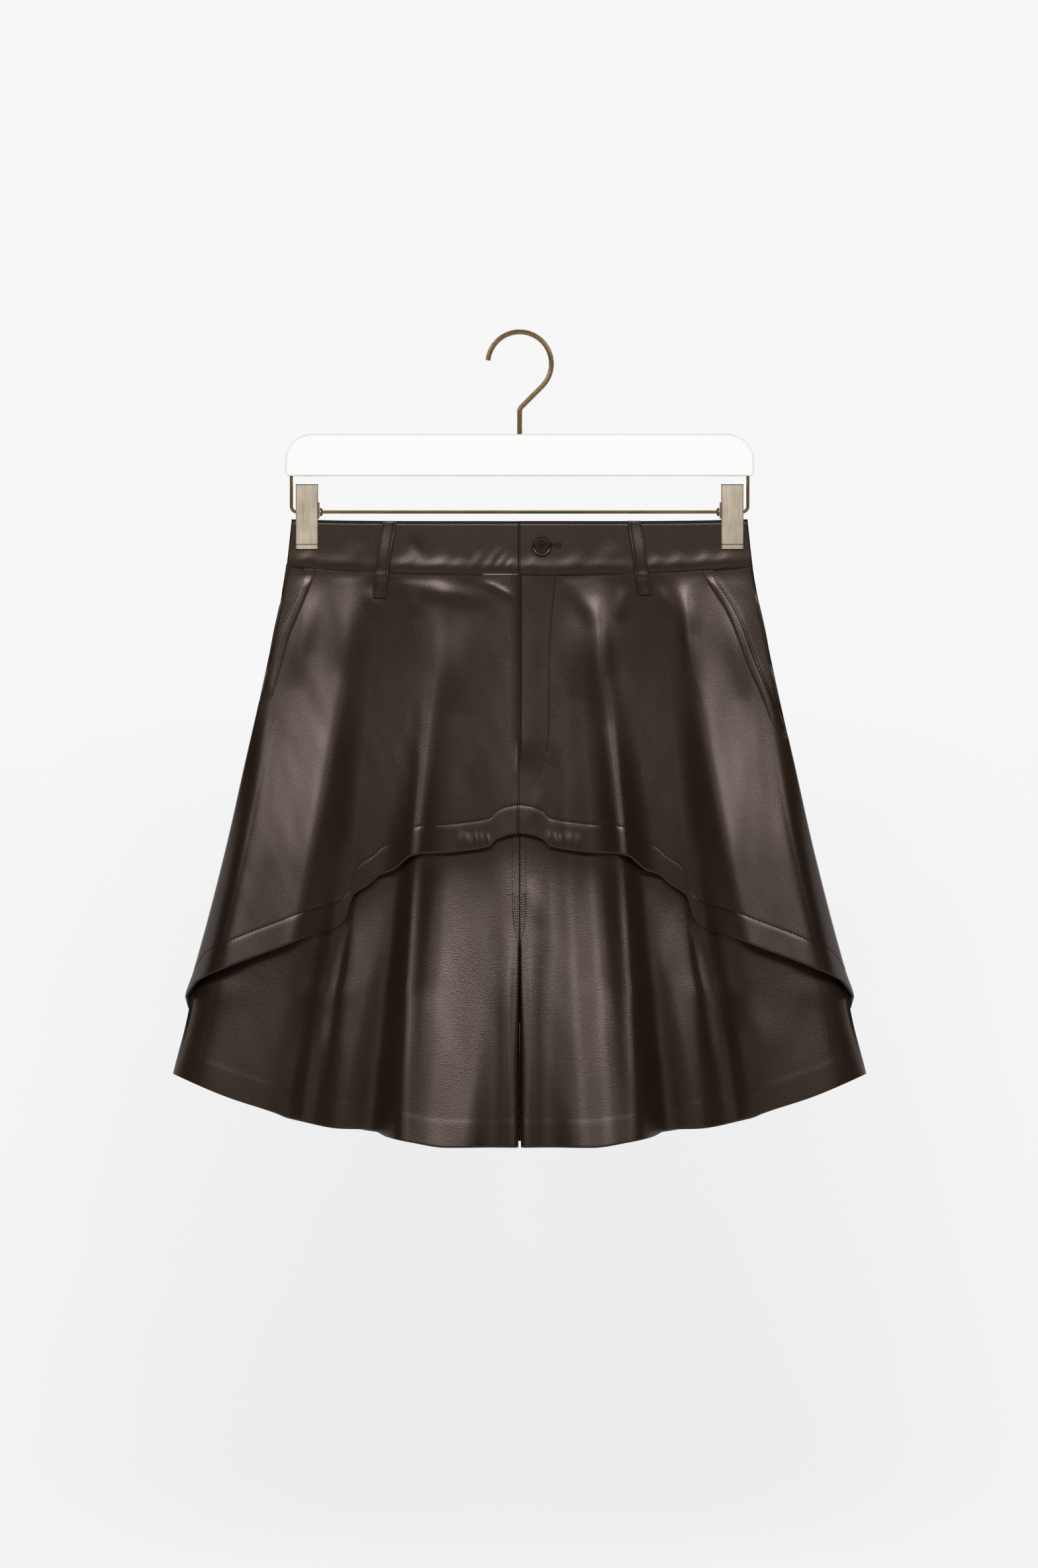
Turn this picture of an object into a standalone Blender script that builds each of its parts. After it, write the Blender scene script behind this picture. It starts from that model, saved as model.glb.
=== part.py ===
"""Divided leather shorts with a skirt-like overlay, clipped by the waist to a bar hanger.

Lengths below are in millimetres, +Z up, the garment's front facing -Y. The origin is
the highest point inside the hanger's hook, where a peg or a rail carries it.

Every cloth surface is worked out in fan coordinates: `across` runs from 0 at the centre
line to 1 at the side, and a point's X is across times the half width at its height, so
the folds fan out from the waist as they do in the hanging leather. Each surface below
is a panel's outer face, and its thickness is added on the inner side.
"""

import math
from collections import namedtuple

import bmesh
import bpy
import numpy as np

MM = 0.001
GAP = 0.3  # clear space that stands for a seam or a contact

# Leather
PANEL_WALL = 1.0
BAND_WALL = 2.8
HEM_WALL = 2.0  # overlay hem turned up to double
HEM_TURN = 25.0
LOOP_WALL = 1.4
LOOP_WIDTH = 11.4

# Waistband
WAIST_TOP = -152.4
WAIST_TOP_RISE = 1.6
SEAM = -197.2
SEAM_RISE = 7.5
BAND_SIDE = 4.1  # from the mid plane to the outer face where the clips press it flat
BAND_BOW_TOP = 7.0
BAND_BOW_SEAM = 6.3
CLIPPED = 0.86  # across, outside which the waist lies flat
OVERLAP_OUT = 1.5  # the right end of the band stands out and the left end lies behind it
OVERLAP_IN = 1.9
OVERLAP_FADE = 40.0
RIGHT_END = -1.2
UNDERLAP_END = 33.0

# Layers, from the mid plane at the side of the waist to each outer face
OVERLAY_SIDE = 4.05
SHORTS_SIDE = 1.15
SIDE_MEET = 0.15
SHORTS_INSET = 4.3
HIP_INSET = 1.6
HIP_INSET_ROUND = 1.0  # more, where the side turns round
SIDE_WRAP = 0.3  # depth of the strip that turns at the side, at the waist and below
SIDE_WRAP_ROUND = 2.2
CLEAR_GROWTH = 5.0  # how much further the shorts hang clear of the overlay below the waist
CLEAR_REACH = 110.0
CLEAR_RELEASE = 8.0
CLEAR_SLACK = 0.3

# Fold growth below the waist
FOLD_REACH = 335.0
FOLD_POWER = 0.8
ROUND_REACH = 120.0
SIDE_ROUND = 2.4

# Crotch and inner legs
CROTCH = -501.0
CROTCH_SINK = 14.0
LEG_ROUND_TOP = 2.0
LEG_ROUND = 7.0
LEG_ROUND_REACH = 40.0
LEG_PART = 1.0
HALF_GAP = 0.5 * GAP

# Button
BUTTON_X = 18.0
BUTTON_Z = -173.1
BUTTON_RADIUS = 7.95
BUTTON_THICK = 2.8
BUTTON_HOLE_RADIUS = 0.6
BUTTON_HOLE_OFFSET = 1.3

# Hanger
WIRE_RADIUS = 1.35
HOOK_RADIUS = 2.05
HOOK_BEND = 26.0
HOOK_TIP_ANGLE = 174.0
HOOK_END_ANGLE = -45.0
HOOK_NECK_BEND = 5.0
BAR_HALF = 191.0
BAR_TOP = -81.5
BAR_BOTTOM = -115.6
BAR_DEPTH = 12.0
BAR_TOP_CORNER = 21.6
BAR_BOTTOM_CORNER = 3.0
BAR_EDGE = 1.5
BORE_DEPTH = 10.0
ROD_Z = -144.9
ROD_DROP_X = 186.2
ROD_BEND = 4.5
CLIP_INNER = 164.5
CLIP_OUTER = 182.5
CLIP_TOP = -122.3
CLIP_BOTTOM = -174.7
CLIP_WALL = 1.2
CLIP_EAR = 1.0
CLIP_EAR_BOTTOM = -150.2
CLIP_EAR_TOP = -137.0
CLIP_LIP = 3.5
CLIP_LIP_PROUD = 0.6
CLIP_EDGE = 0.25
COLLAR_RADIUS = 3.5
COLLAR_NECK = 2.6
COLLAR_WIDTH = 2.2

Level = namedtuple("Level", "z value")
Place = namedtuple("Place", "across value")
Track = namedtuple("Track", "z x")

# Half width of the overlay's outer face at each height.
SIDE_LINE = (
    Level(-662.0, 300.0),
    Level(-604.0, 287.3),
    Level(-551.0, 274.2),
    Level(-538.0, 272.4),
    Level(-521.0, 266.6),
    Level(-506.5, 262.4),
    Level(-470.9, 252.7),
    Level(-410.4, 237.6),
    Level(-350.0, 224.1),
    Level(-300.8, 212.8),
    Level(-247.0, 201.4),
    Level(-193.0, 190.6),
    Level(-150.7, 185.8),
)

# Depth of each layer's outer face at the centre line, before the folds.
OVERLAY_FRONT_DEPTH = (
    Level(-662.0, 37.0),
    Level(-551.0, 34.0),
    Level(-470.0, 31.0),
    Level(-400.0, 27.0),
    Level(-320.0, 21.0),
    Level(-250.0, 15.0),
    Level(-197.0, 10.0),
)
SHORTS_FRONT_DEPTH = (
    Level(-662.0, 35.0),
    Level(-604.0, 32.0),
    Level(-551.0, 28.0),
    Level(-470.0, 25.0),
    Level(-400.0, 21.5),
    Level(-320.0, 16.5),
    Level(-250.0, 12.0),
    Level(-197.0, 7.4),
)
OVERLAY_BACK_DEPTH = (
    Level(-662.0, 36.0),
    Level(-562.0, 34.0),
    Level(-470.0, 32.0),
    Level(-400.0, 29.0),
    Level(-320.0, 24.0),
    Level(-250.0, 16.0),
    Level(-197.0, 10.0),
)
SHORTS_BACK_DEPTH = (
    Level(-662.0, 34.0),
    Level(-562.0, 28.0),
    Level(-470.0, 26.0),
    Level(-400.0, 23.5),
    Level(-320.0, 19.5),
    Level(-250.0, 13.0),
    Level(-197.0, 7.4),
)

# Folds: each row is a ridge or a trough, as its height above the mean face at the hem.
OVERLAY_FRONT_FOLDS = (
    Place(0.0, 5.0),
    Place(0.055, 5.0),
    Place(0.112, -3.0),
    Place(0.168, 4.0),
    Place(0.265, -8.0),
    Place(0.342, 10.0),
    Place(0.437, -9.0),
    Place(0.52, -5.0),
    Place(0.578, -15.0),
    Place(0.66, 12.0),
    Place(0.72, 15.0),
    Place(0.80, 11.0),
    Place(0.93, 8.0),
    Place(1.0, 0.0),
)
SHORTS_FRONT_FOLDS = (
    Place(0.0, 4.0),
    Place(0.032, 5.0),
    Place(0.07, -4.0),
    Place(0.20, 9.0),
    Place(0.26, 6.5),
    Place(0.32, 8.5),
    Place(0.405, -12.0),
    Place(0.495, 2.0),
    Place(0.59, -13.0),
    Place(0.68, 3.0),
    Place(0.74, 1.0),
    Place(0.83, 5.0),
    Place(0.93, 3.0),
    Place(1.0, 0.0),
)
OVERLAY_BACK_FOLDS = (
    Place(0.0, 9.0),
    Place(0.13, -6.0),
    Place(0.26, 9.0),
    Place(0.40, -9.0),
    Place(0.53, 11.0),
    Place(0.66, -6.0),
    Place(0.79, 10.0),
    Place(0.90, 4.0),
    Place(1.0, 0.0),
)
SHORTS_BACK_FOLDS = (
    Place(0.0, 3.0),
    Place(0.035, 4.0),
    Place(0.10, -5.0),
    Place(0.24, 9.0),
    Place(0.38, -9.0),
    Place(0.52, 8.0),
    Place(0.65, -6.0),
    Place(0.78, 7.0),
    Place(0.90, 3.0),
    Place(1.0, 0.0),
)

# Height of each hem round the garment.
OVERLAY_FRONT_HEM = (
    Place(0.0, -406.9),
    Place(0.03, -407.8),
    Place(0.08, -412.0),
    Place(0.103, -417.6),
    Place(0.18, -421.0),
    Place(0.25, -422.8),
    Place(0.33, -423.6),
    Place(0.372, -426.0),
    Place(0.40, -432.0),
    Place(0.42, -436.5),
    Place(0.465, -441.0),
    Place(0.494, -448.0),
    Place(0.548, -458.8),
    Place(0.556, -475.0),
    Place(0.60, -486.0),
    Place(0.66, -490.5),
    Place(0.768, -501.5),
    Place(0.90, -516.0),
    Place(0.976, -526.5),
    Place(1.0, -541.0),
)
OVERLAY_BACK_HEM = (
    Place(0.0, -562.0),
    Place(0.60, -560.0),
    Place(0.90, -556.0),
    Place(0.985, -551.0),
    Place(1.0, -541.0),
)
SHORTS_FRONT_HEM = (
    Place(0.0, -662.0),
    Place(0.20, -662.0),
    Place(0.308, -657.2),
    Place(0.371, -653.4),
    Place(0.413, -648.5),
    Place(0.511, -647.0),
    Place(0.647, -638.8),
    Place(0.684, -634.5),
    Place(0.827, -621.5),
    Place(1.0, -603.0),
)
SHORTS_BACK_HEM = (
    Place(0.0, -658.0),
    Place(0.30, -654.0),
    Place(0.60, -641.0),
    Place(0.827, -620.0),
    Place(1.0, -603.0),
)

# Slanted pocket mouths, from the waist seam to where each meets the side.
POCKET_LEFT = (
    Level(-300.0, 1.0),
    Level(-272.7, 0.99),
    Level(-246.8, 0.982),
    Level(-231.0, 0.966),
    Level(-194.0, 0.925),
)
POCKET_RIGHT = (
    Level(-327.0, 1.0),
    Level(-300.0, 0.982),
    Level(-272.7, 0.952),
    Level(-230.0, 0.911),
    Level(-194.0, 0.83),
)
POCKET_SPREAD = 0.7  # across, outside which the front's columns lean towards the mouth
HIP_UNDER = 0.10  # across, how far the hip piece reaches under the front
HIP_DROP = 40.0  # how far it hangs below the end of the mouth

# Belt loops' centre lines.
LOOP_FRONT_LEFT = (Track(-215.0, -114.3), Track(-195.0, -112.3), Track(-152.8, -105.8))
LOOP_FRONT_RIGHT = (Track(-212.5, 101.8), Track(-194.0, 99.5), Track(-152.2, 93.3))
LOOP_BACK_SIDE_X = 108.0
LOOP_BACK_LEAN = 8.0
LOOP_BOW = 1.2

# How the surfaces are divided.
FRONT_ROWS = 9
BACK_ROWS = 8
UPPER_SHARES = (0.0, 0.22, 0.45, 0.62, 0.76, 0.88, 1.0)  # from the waist to the crotch
LOWER_ROWS = 7
WRAP_FROM = 0.93  # across, from where the side begins to turn
WRAPPED = 0.01  # the last column lies this far past 1, on the side itself
SIDE_COLUMNS = (0.96, 0.98, 0.991, 1.0 + WRAPPED)
HEM_STEP_COLUMNS = (0.548, 0.556)
CLOSEST_COLUMNS = 0.0065
LEG_EDGE_START = 14.0  # from the centre, where the inner edge's own columns take over
LEG_EDGE_X = (9.0, 6.0, 3.6, 1.9)
INNER_COLUMNS = 4


def smooth(xs, ys):
    """A curve through the points that keeps between each pair of them."""
    order = np.argsort(xs)
    x = np.asarray(xs, float)[order]
    y = np.asarray(ys, float)[order]
    step = np.diff(x)
    slope = np.diff(y) / step
    tangent = np.zeros(len(x))
    tangent[0] = slope[0]
    tangent[-1] = slope[-1]
    for i in range(1, len(x) - 1):
        if slope[i - 1] * slope[i] > 0:
            tangent[i] = 2 * slope[i - 1] * slope[i] / (slope[i - 1] + slope[i])

    def at(value):
        v = np.clip(value, x[0], x[-1])
        i = np.clip(np.searchsorted(x, v, side="right") - 1, 0, len(step) - 1)
        t = (v - x[i]) / step[i]
        rise = t * t * (3 - 2 * t)
        swing = step[i] * t * (1 - t) * (tangent[i] * (1 - t) - tangent[i + 1] * t)
        return y[i] + (y[i + 1] - y[i]) * rise + swing

    return at


def by_level(rows):
    return smooth([row.z for row in rows], [row.value for row in rows])


def by_place(rows):
    return smooth([row.across for row in rows], [row.value for row in rows])


half_width = by_level(SIDE_LINE)


def ease(t):
    t = np.clip(t, 0.0, 1.0)
    return t * t * (3 - 2 * t)


def seam_height(across):
    return SEAM + SEAM_RISE * np.abs(across) ** 3


def waist_top(across):
    return WAIST_TOP + WAIST_TOP_RISE * np.abs(across) ** 4


def clipped_lens(across):
    """Bow of the waist between the clips, 1 at the centre and 0 where it is held flat."""
    inside = np.clip(1 - (np.abs(across) / CLIPPED) ** 2, 0.0, 1.0)
    return inside**1.5


def round_lens(across):
    """Bow of the hanging skirt, which turns round to the back at the side."""
    return np.sqrt(np.clip(1 - np.abs(across) ** SIDE_ROUND, 0.0, 1.0))


def held_at_side(across):
    """0 over the body of a face and 1 at the side, where it turns."""
    return np.clip((np.abs(across) - WRAP_FROM) / (1.0 - WRAP_FROM), 0.0, 1.0)


def layer_depth(across, z, centre, folds, side):
    """Distance of a layer's outer face from the mid plane, before it meets another layer."""
    below = SEAM - z
    turn = ease(below / ROUND_REACH)
    lens = (1 - turn) * clipped_lens(across) + turn * round_lens(across)
    edge = side + (SIDE_MEET - side) * turn
    grow = np.clip(below / FOLD_REACH, 0.0, 1.15) ** FOLD_POWER
    return edge + (centre(z) - edge) * lens + grow * folds(np.abs(across))


class Layer:
    """One face of the garment: its depth, folds, width and hem."""

    def __init__(self, depth, folds, hem, side, inset=0.0, cover=None):
        self.centre = by_level(depth)
        self.folds = by_place(folds)
        self.hem = by_place(hem)
        self.side = side
        self.inset = inset
        self.cover = cover

    def depth(self, across, z):
        free = layer_depth(across, z, self.centre, self.folds, self.side)
        if self.cover is None:
            return free
        over = self.cover
        hem = over.hem(np.abs(across))
        level = np.maximum(z, hem)
        clear = over.side - self.side + CLEAR_GROWTH * ease((SEAM - z) / CLEAR_REACH)
        slack = CLEAR_SLACK * np.maximum(0.0, hem - CLEAR_RELEASE - z)
        limit = over.depth(across, level) - clear + slack
        soft = 1.5 * ease((SEAM - z) / 60.0) + 1e-3
        pressed = soft * np.logaddexp(0.0, (free - limit) / soft)
        floor = SIDE_MEET + (self.side - SIDE_MEET) * (1 - held_at_side(across))
        return np.maximum(free - pressed, floor)

    def width(self, z):
        return half_width(z) - self.inset

    def point(self, across, z, facing=-1):
        """The point of the outer face, facing -1 for the front and 1 for the back.

        Past 1 the face has turned at the side, and runs back towards the mid plane.
        """
        wrap = SIDE_WRAP + SIDE_WRAP_ROUND * ease((SEAM - z) / ROUND_REACH)
        turned = np.clip(np.abs(across) - 1.0, 0.0, WRAPPED) / WRAPPED
        held = held_at_side(across)
        across = np.clip(across, -1.0, 1.0)
        y = facing * (self.depth(across, z) + wrap * (held - turned))
        return np.stack([across * self.width(z), y + 0 * z, z + 0 * across], axis=-1)

    def moved(self, across, z, inward, facing=-1):
        """The same point moved in along the face's normal."""
        step = 1e-3
        here = self.point(across, z, facing)
        along = self.point(across + step, z, facing) - self.point(across - step, z, facing)
        down = self.point(across, z - 1.0, facing) - here
        normal = np.cross(down, along) * -facing
        normal /= np.linalg.norm(normal, axis=-1, keepdims=True)
        return here - normal * np.reshape(inward, (-1, 1))


overlay_front = Layer(OVERLAY_FRONT_DEPTH, OVERLAY_FRONT_FOLDS, OVERLAY_FRONT_HEM, OVERLAY_SIDE)
overlay_back = Layer(OVERLAY_BACK_DEPTH, OVERLAY_BACK_FOLDS, OVERLAY_BACK_HEM, OVERLAY_SIDE)
shorts_front = Layer(
    SHORTS_FRONT_DEPTH, SHORTS_FRONT_FOLDS, SHORTS_FRONT_HEM, SHORTS_SIDE, SHORTS_INSET, overlay_front
)
shorts_back = Layer(
    SHORTS_BACK_DEPTH, SHORTS_BACK_FOLDS, SHORTS_BACK_HEM, SHORTS_SIDE, SHORTS_INSET, overlay_back
)


# --- scene, materials and small makers ---------------------------------------------


def clear_scene():
    for old in list(bpy.data.objects):
        bpy.data.objects.remove(old)


def collection(name):
    made = bpy.data.collections.new(name)
    bpy.context.scene.collection.children.link(made)
    return made


def material(name, colour, roughness, metallic):
    made = bpy.data.materials.new(name)
    made.use_nodes = True
    shader = made.node_tree.nodes["Principled BSDF"]
    shader.inputs["Base Color"].default_value = (*colour, 1.0)
    shader.inputs["Roughness"].default_value = roughness
    shader.inputs["Metallic"].default_value = metallic
    return made


clear_scene()
PART = collection("leather_shorts")
CUTTERS = collection("cutters")
CUTTERS.hide_render = True
LEATHER = material("brown_nappa_leather", (0.052, 0.037, 0.030), 0.45, 0.0)
BUTTON_HORN = material("dark_brown_button", (0.030, 0.020, 0.016), 0.35, 0.0)
WHITE_PAINT = material("white_painted_wood", (0.90, 0.90, 0.89), 0.4, 0.0)
BRASS = material("antique_brass", (0.42, 0.33, 0.19), 0.35, 1.0)


def put(name, mesh, finish, home=None):
    made = bpy.data.objects.new(name, mesh)
    mesh.materials.append(finish)
    (home or PART).objects.link(made)
    return made


def hide_cutter(cutter):
    cutter.hide_render = True
    cutter.display_type = "WIRE"
    return cutter


def combine(obj, other, operation):
    modifier = obj.modifiers.new(operation.lower() + "_" + other.name, "BOOLEAN")
    modifier.operation = operation
    modifier.object = other


def grid_faces(rows, columns, flip=False, start=0):
    """Quads of a grid whose points are stored row after row."""
    faces = []
    for i in range(rows - 1):
        for j in range(columns - 1):
            a = start + i * columns + j
            quad = (a, a + columns, a + columns + 1, a + 1)
            faces.append(quad[::-1] if flip else quad)
    return faces


def wall(name, points, faces, thickness, heavy=None):
    """A piece of leather: its outer face, thickened on the inner side."""
    mesh = bpy.data.meshes.new(name)
    mesh.from_pydata([tuple(p) for p in np.asarray(points).reshape(-1, 3) * MM], [], faces)
    mesh.shade_smooth()
    made = put(name, mesh, LEATHER)
    shell = made.modifiers.new("thickness", "SOLIDIFY")
    shell.thickness = thickness * MM
    shell.offset = -1.0
    if heavy is not None:
        group = made.vertex_groups.new(name="turned_hem")
        for index, share in enumerate(np.asarray(heavy).ravel()):
            group.add([index], float(share), "REPLACE")
        shell.vertex_group = group.name
    return made


def columns_of(folds, extra=()):
    """Columns on each ridge and trough, between them and close together at the side."""
    places = [row.across for row in folds]
    between = [0.5 * (a + b) for a, b in zip(places, places[1:])]
    wanted = sorted(set(places + between + list(extra) + list(SIDE_COLUMNS)))
    kept = [wanted[0]]
    for place in wanted[1:]:
        if place - kept[-1] > CLOSEST_COLUMNS:
            kept.append(place)
    return np.array(kept)


# --- waistband -----------------------------------------------------------------------


def band_depth(across, z):
    drop = (WAIST_TOP - z) / (WAIST_TOP - SEAM)
    bow = BAND_BOW_TOP + (BAND_BOW_SEAM - BAND_BOW_TOP) * drop
    return BAND_SIDE + bow * clipped_lens(across)


def band_piece(name, low_x, high_x, facing, step=None):
    """A stretch of the waistband between two distances across, measured at its seam."""
    reach = half_width(SEAM)
    divisions = max(4, int(round((high_x - low_x) / 14.0)))
    across = np.linspace(low_x / reach, high_x / reach, divisions + 1)
    points = []
    for part in np.linspace(0.0, 1.0, 4):
        top = waist_top(across)
        bottom = seam_height(across) + GAP
        z = top + (bottom - top) * part
        depth = band_depth(across, z)
        if step is not None:
            depth = depth + step(across * reach)
        points.append(np.stack([across * half_width(z), facing * depth, z], axis=-1))
    faces = grid_faces(4, len(across), flip=facing > 0)
    return wall(name, points, faces, BAND_WALL)


def right_over(x):
    """The right end of the band lies over the left one at the centre front."""
    return OVERLAP_OUT * ease(1 - (x - UNDERLAP_END - 2.0) / OVERLAP_FADE)


def left_under(x):
    return -OVERLAP_IN * ease((x + OVERLAP_FADE) / (OVERLAP_FADE - 6.0))


def waistband():
    reach = half_width(SEAM)
    band_piece("waistband_front_left", -reach, UNDERLAP_END, -1, left_under)
    band_piece("waistband_front_right", RIGHT_END, reach, -1, right_over)
    band_piece("waistband_back", -reach, reach, 1)


# --- overlay ---------------------------------------------------------------------------


def hem_rows(top, hem, rows):
    """Heights down each column, with two rows at the edge of the turned-up hem."""
    turn = hem + HEM_TURN
    heights = [top + (turn - top) * t for t in np.linspace(0.0, 1.0, rows)]
    heights.append(hem + HEM_TURN - 1.5)
    heights.append(hem + 0.5 * HEM_TURN)
    heights.append(hem)
    weights = [PANEL_WALL / HEM_WALL] * rows + [1.0] * 3
    return heights, weights


def overlay_front_piece(name, sign, mouth_rows):
    """The overlay's front on one side, from the centre front to the pocket and side."""
    mouth = by_level(mouth_rows)
    columns = columns_of(OVERLAY_FRONT_FOLDS, HEM_STEP_COLUMNS)
    hem = overlay_front.hem(columns)
    heights, weights = hem_rows(seam_height(columns) - GAP, hem, FRONT_ROWS)
    points = []
    heavy = []
    for z, weight in zip(heights, weights):
        reach = np.where(z > mouth_rows[0].z, mouth(z), columns[-1])
        lean = (columns - POCKET_SPREAD) / (columns[-1] - POCKET_SPREAD)
        leant = POCKET_SPREAD + lean * (reach - POCKET_SPREAD)
        place = np.where(columns > POCKET_SPREAD, leant, columns)
        row = overlay_front.point(place, np.minimum(z, seam_height(place) - GAP))
        row[:, 0] *= sign
        row[0, 0] = RIGHT_END if sign > 0 else RIGHT_END - GAP
        points.append(row)
        heavy.append([weight] * len(columns))
    faces = grid_faces(len(heights), len(columns), flip=sign < 0)
    return wall(name, points, faces, HEM_WALL, heavy)


def overlay_back_piece():
    half = columns_of(OVERLAY_BACK_FOLDS)
    across = np.concatenate([-half[:0:-1], half])
    heights, weights = hem_rows(
        seam_height(across) - GAP, overlay_back.hem(np.abs(across)), BACK_ROWS
    )
    points = [overlay_back.point(across, z, 1) for z in heights]
    heavy = [[weight] * len(across) for weight in weights]
    faces = grid_faces(len(heights), len(across), flip=True)
    return wall("overlay_back", points, faces, HEM_WALL, heavy)


def hip_piece(name, sign, mouth_rows):
    """The hip piece that fills the pocket mouth, under the front's edge."""
    mouth = by_level(mouth_rows)
    end = mouth_rows[0].z
    points = []
    rows = 8
    shares = (0.0, 0.25, 0.5, 0.7, 0.84, 0.93, 0.99, 1.0)
    for part in np.linspace(0.0, 1.0, rows):
        top = float(seam_height(1.0)) - GAP - 2.0
        z = top + (end - HIP_DROP - top) * part
        inner = float(mouth(z)) - HIP_UNDER
        across = inner + (1.0 + WRAPPED - inner) * np.array(shares)
        level = np.minimum(z, seam_height(across) - GAP)
        inward = HIP_INSET + HIP_INSET_ROUND * ease((SEAM - level) / ROUND_REACH)
        row = overlay_front.moved(across, level, inward)
        row[:, 0] *= sign
        points.append(row)
    faces = grid_faces(rows, len(shares), flip=sign < 0)
    return wall(name, points, faces, PANEL_WALL)


# --- shorts --------------------------------------------------------------------------


def leg_panel(name, layer, folds, sign, facing):
    """One of the four panels of the legs, with its crotch extension round the inner leg."""
    places = columns_of(folds)
    places = places[places * half_width(CROTCH) > LEG_EDGE_START][::-1]
    edge = np.array(LEG_EDGE_X)
    top = seam_height(places) - GAP
    hem = layer.hem(places)
    levels = []
    for t in UPPER_SHARES:
        levels.append((SEAM - GAP + (CROTCH - SEAM + GAP) * t, top + (CROTCH - top) * t))
    centre_hem = float(layer.hem(0.0))
    for t in np.linspace(0.0, 1.0, LOWER_ROWS)[1:]:
        levels.append((CROTCH + (centre_hem - CROTCH) * t, CROTCH + (hem - CROTCH) * t))
    points = []
    for centre_z, z in levels:
        main = layer.point(places, z, facing)
        below = CROTCH - centre_z
        part_x = HALF_GAP + (LEG_PART - HALF_GAP) * ease(below / LEG_ROUND_REACH)
        radius = LEG_ROUND_TOP + (LEG_ROUND - LEG_ROUND_TOP) * ease(below / LEG_ROUND_REACH)
        if below < 0:
            radius = 0.0
        x = np.append(edge, part_x)
        depth = layer.depth(x / layer.width(centre_z), centre_z)
        inside = np.clip(radius - (x - part_x), 0.0, radius)
        drop = radius - np.sqrt(np.maximum(radius**2 - inside**2, 0.0))
        near = np.stack([x, facing * (depth - drop), centre_z + 0 * x], axis=-1)
        points.append(np.concatenate([main, near]))
    columns = len(places) + len(edge) + 1
    rows = len(points)
    faces = grid_faces(rows, columns, flip=True)
    points = np.concatenate(points)
    # The inner leg: from the front's rounded edge back to the inseam, under the crotch seam.
    first = len(UPPER_SHARES) - 1
    edge_ids = [i * columns + columns - 1 for i in range(first, rows)]
    extra = []
    ids = [edge_ids]
    for k in range(1, INNER_COLUMNS + 1):
        share = k / INNER_COLUMNS
        crotch = CROTCH - CROTCH_SINK * math.sin(0.5 * math.pi * share)
        column = []
        for index, edge_id in enumerate(edge_ids):
            start = points[edge_id]
            t = index / (len(edge_ids) - 1)
            z = crotch + (centre_hem - crotch) * t
            y = start[1] + (facing * HALF_GAP - start[1]) * share
            column.append(len(points) + len(extra))
            extra.append((start[0], y, z))
        ids.append(column)
    for a, b in zip(ids, ids[1:]):
        for i in range(len(a) - 1):
            faces.append((a[i], b[i], b[i + 1], a[i + 1]))
    points = np.concatenate([points, np.array(extra)])
    points[:, 0] *= sign
    if sign * facing > 0:
        faces = [face[::-1] for face in faces]
    return wall(name, points, faces, PANEL_WALL)


# --- belt loops and button -------------------------------------------------------------


def outer_depth(x, z, facing):
    """Depth of what a loop lies on: the band above the seam and the panel below it."""
    layer = overlay_front if facing < 0 else overlay_back
    across = x / half_width(z)
    on_band = band_depth(across, z)
    on_panel = layer.depth(across, np.minimum(z, seam_height(across) - GAP))
    return np.maximum(on_band, on_panel)


def belt_loop(name, track, facing):
    centre = smooth([row.z for row in track], [row.x for row in track])
    top = track[-1].z
    bottom = track[0].z
    steps = 9
    points = []
    for t in np.linspace(0.0, 1.0, steps):
        z = top + (bottom - top) * t
        x = float(centre(z)) + np.array([-0.5, 0.0, 0.5]) * LOOP_WIDTH
        near = [outer_depth(x + dx, z + dz, facing) for dx in (-2, 2) for dz in (-2, 2)]
        rest = np.max(near, axis=0).max()
        stand = rest + GAP + LOOP_WALL + LOOP_BOW * math.sin(math.pi * t) ** 2
        points.append(np.stack([x, facing * stand + 0 * x, z + 0 * x], axis=-1))
    faces = grid_faces(steps, 3, flip=facing > 0)
    return wall(name, points, faces, LOOP_WALL)


def belt_loops():
    belt_loop("belt_loop_front_left", LOOP_FRONT_LEFT, -1)
    belt_loop("belt_loop_front_right", LOOP_FRONT_RIGHT, -1)
    for name, x, lean in (
        ("belt_loop_back_left", -LOOP_BACK_SIDE_X, -LOOP_BACK_LEAN),
        ("belt_loop_back_centre", 0.0, 0.0),
        ("belt_loop_back_right", LOOP_BACK_SIDE_X, LOOP_BACK_LEAN),
    ):
        belt_loop(name, (Track(-213.0, x + lean), Track(-152.6, x)), 1)


def turned(name, profile, finish, steps=32):
    """A solid of revolution about Z from its profile of (radius, height), top to bottom."""
    mesh = bpy.data.meshes.new(name)
    points = [(r * MM, 0.0, z * MM) for r, z in profile]
    edges = [(i, i + 1) for i in range(len(points) - 1)]
    mesh.from_pydata(points, edges, [])
    made = put(name, mesh, finish)
    screw = made.modifiers.new("turn", "SCREW")
    screw.steps = steps
    screw.render_steps = steps
    screw.use_merge_vertices = True
    screw.merge_threshold = 0.00001
    return made


def cylinder(name, radius, length, place, axis, sides=16):
    """A cutter along one axis."""
    mesh = bpy.data.meshes.new(name)
    shape = bmesh.new()
    bmesh.ops.create_cone(
        shape,
        cap_ends=True,
        segments=sides,
        radius1=radius * MM,
        radius2=radius * MM,
        depth=length * MM,
    )
    shape.to_mesh(mesh)
    shape.free()
    made = put(name, mesh, BRASS, CUTTERS)
    made.location = [c * MM for c in place]
    if axis == "X":
        made.rotation_euler = (0.0, 0.5 * math.pi, 0.0)
    if axis == "Y":
        made.rotation_euler = (0.5 * math.pi, 0.0, 0.0)
    return made


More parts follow.
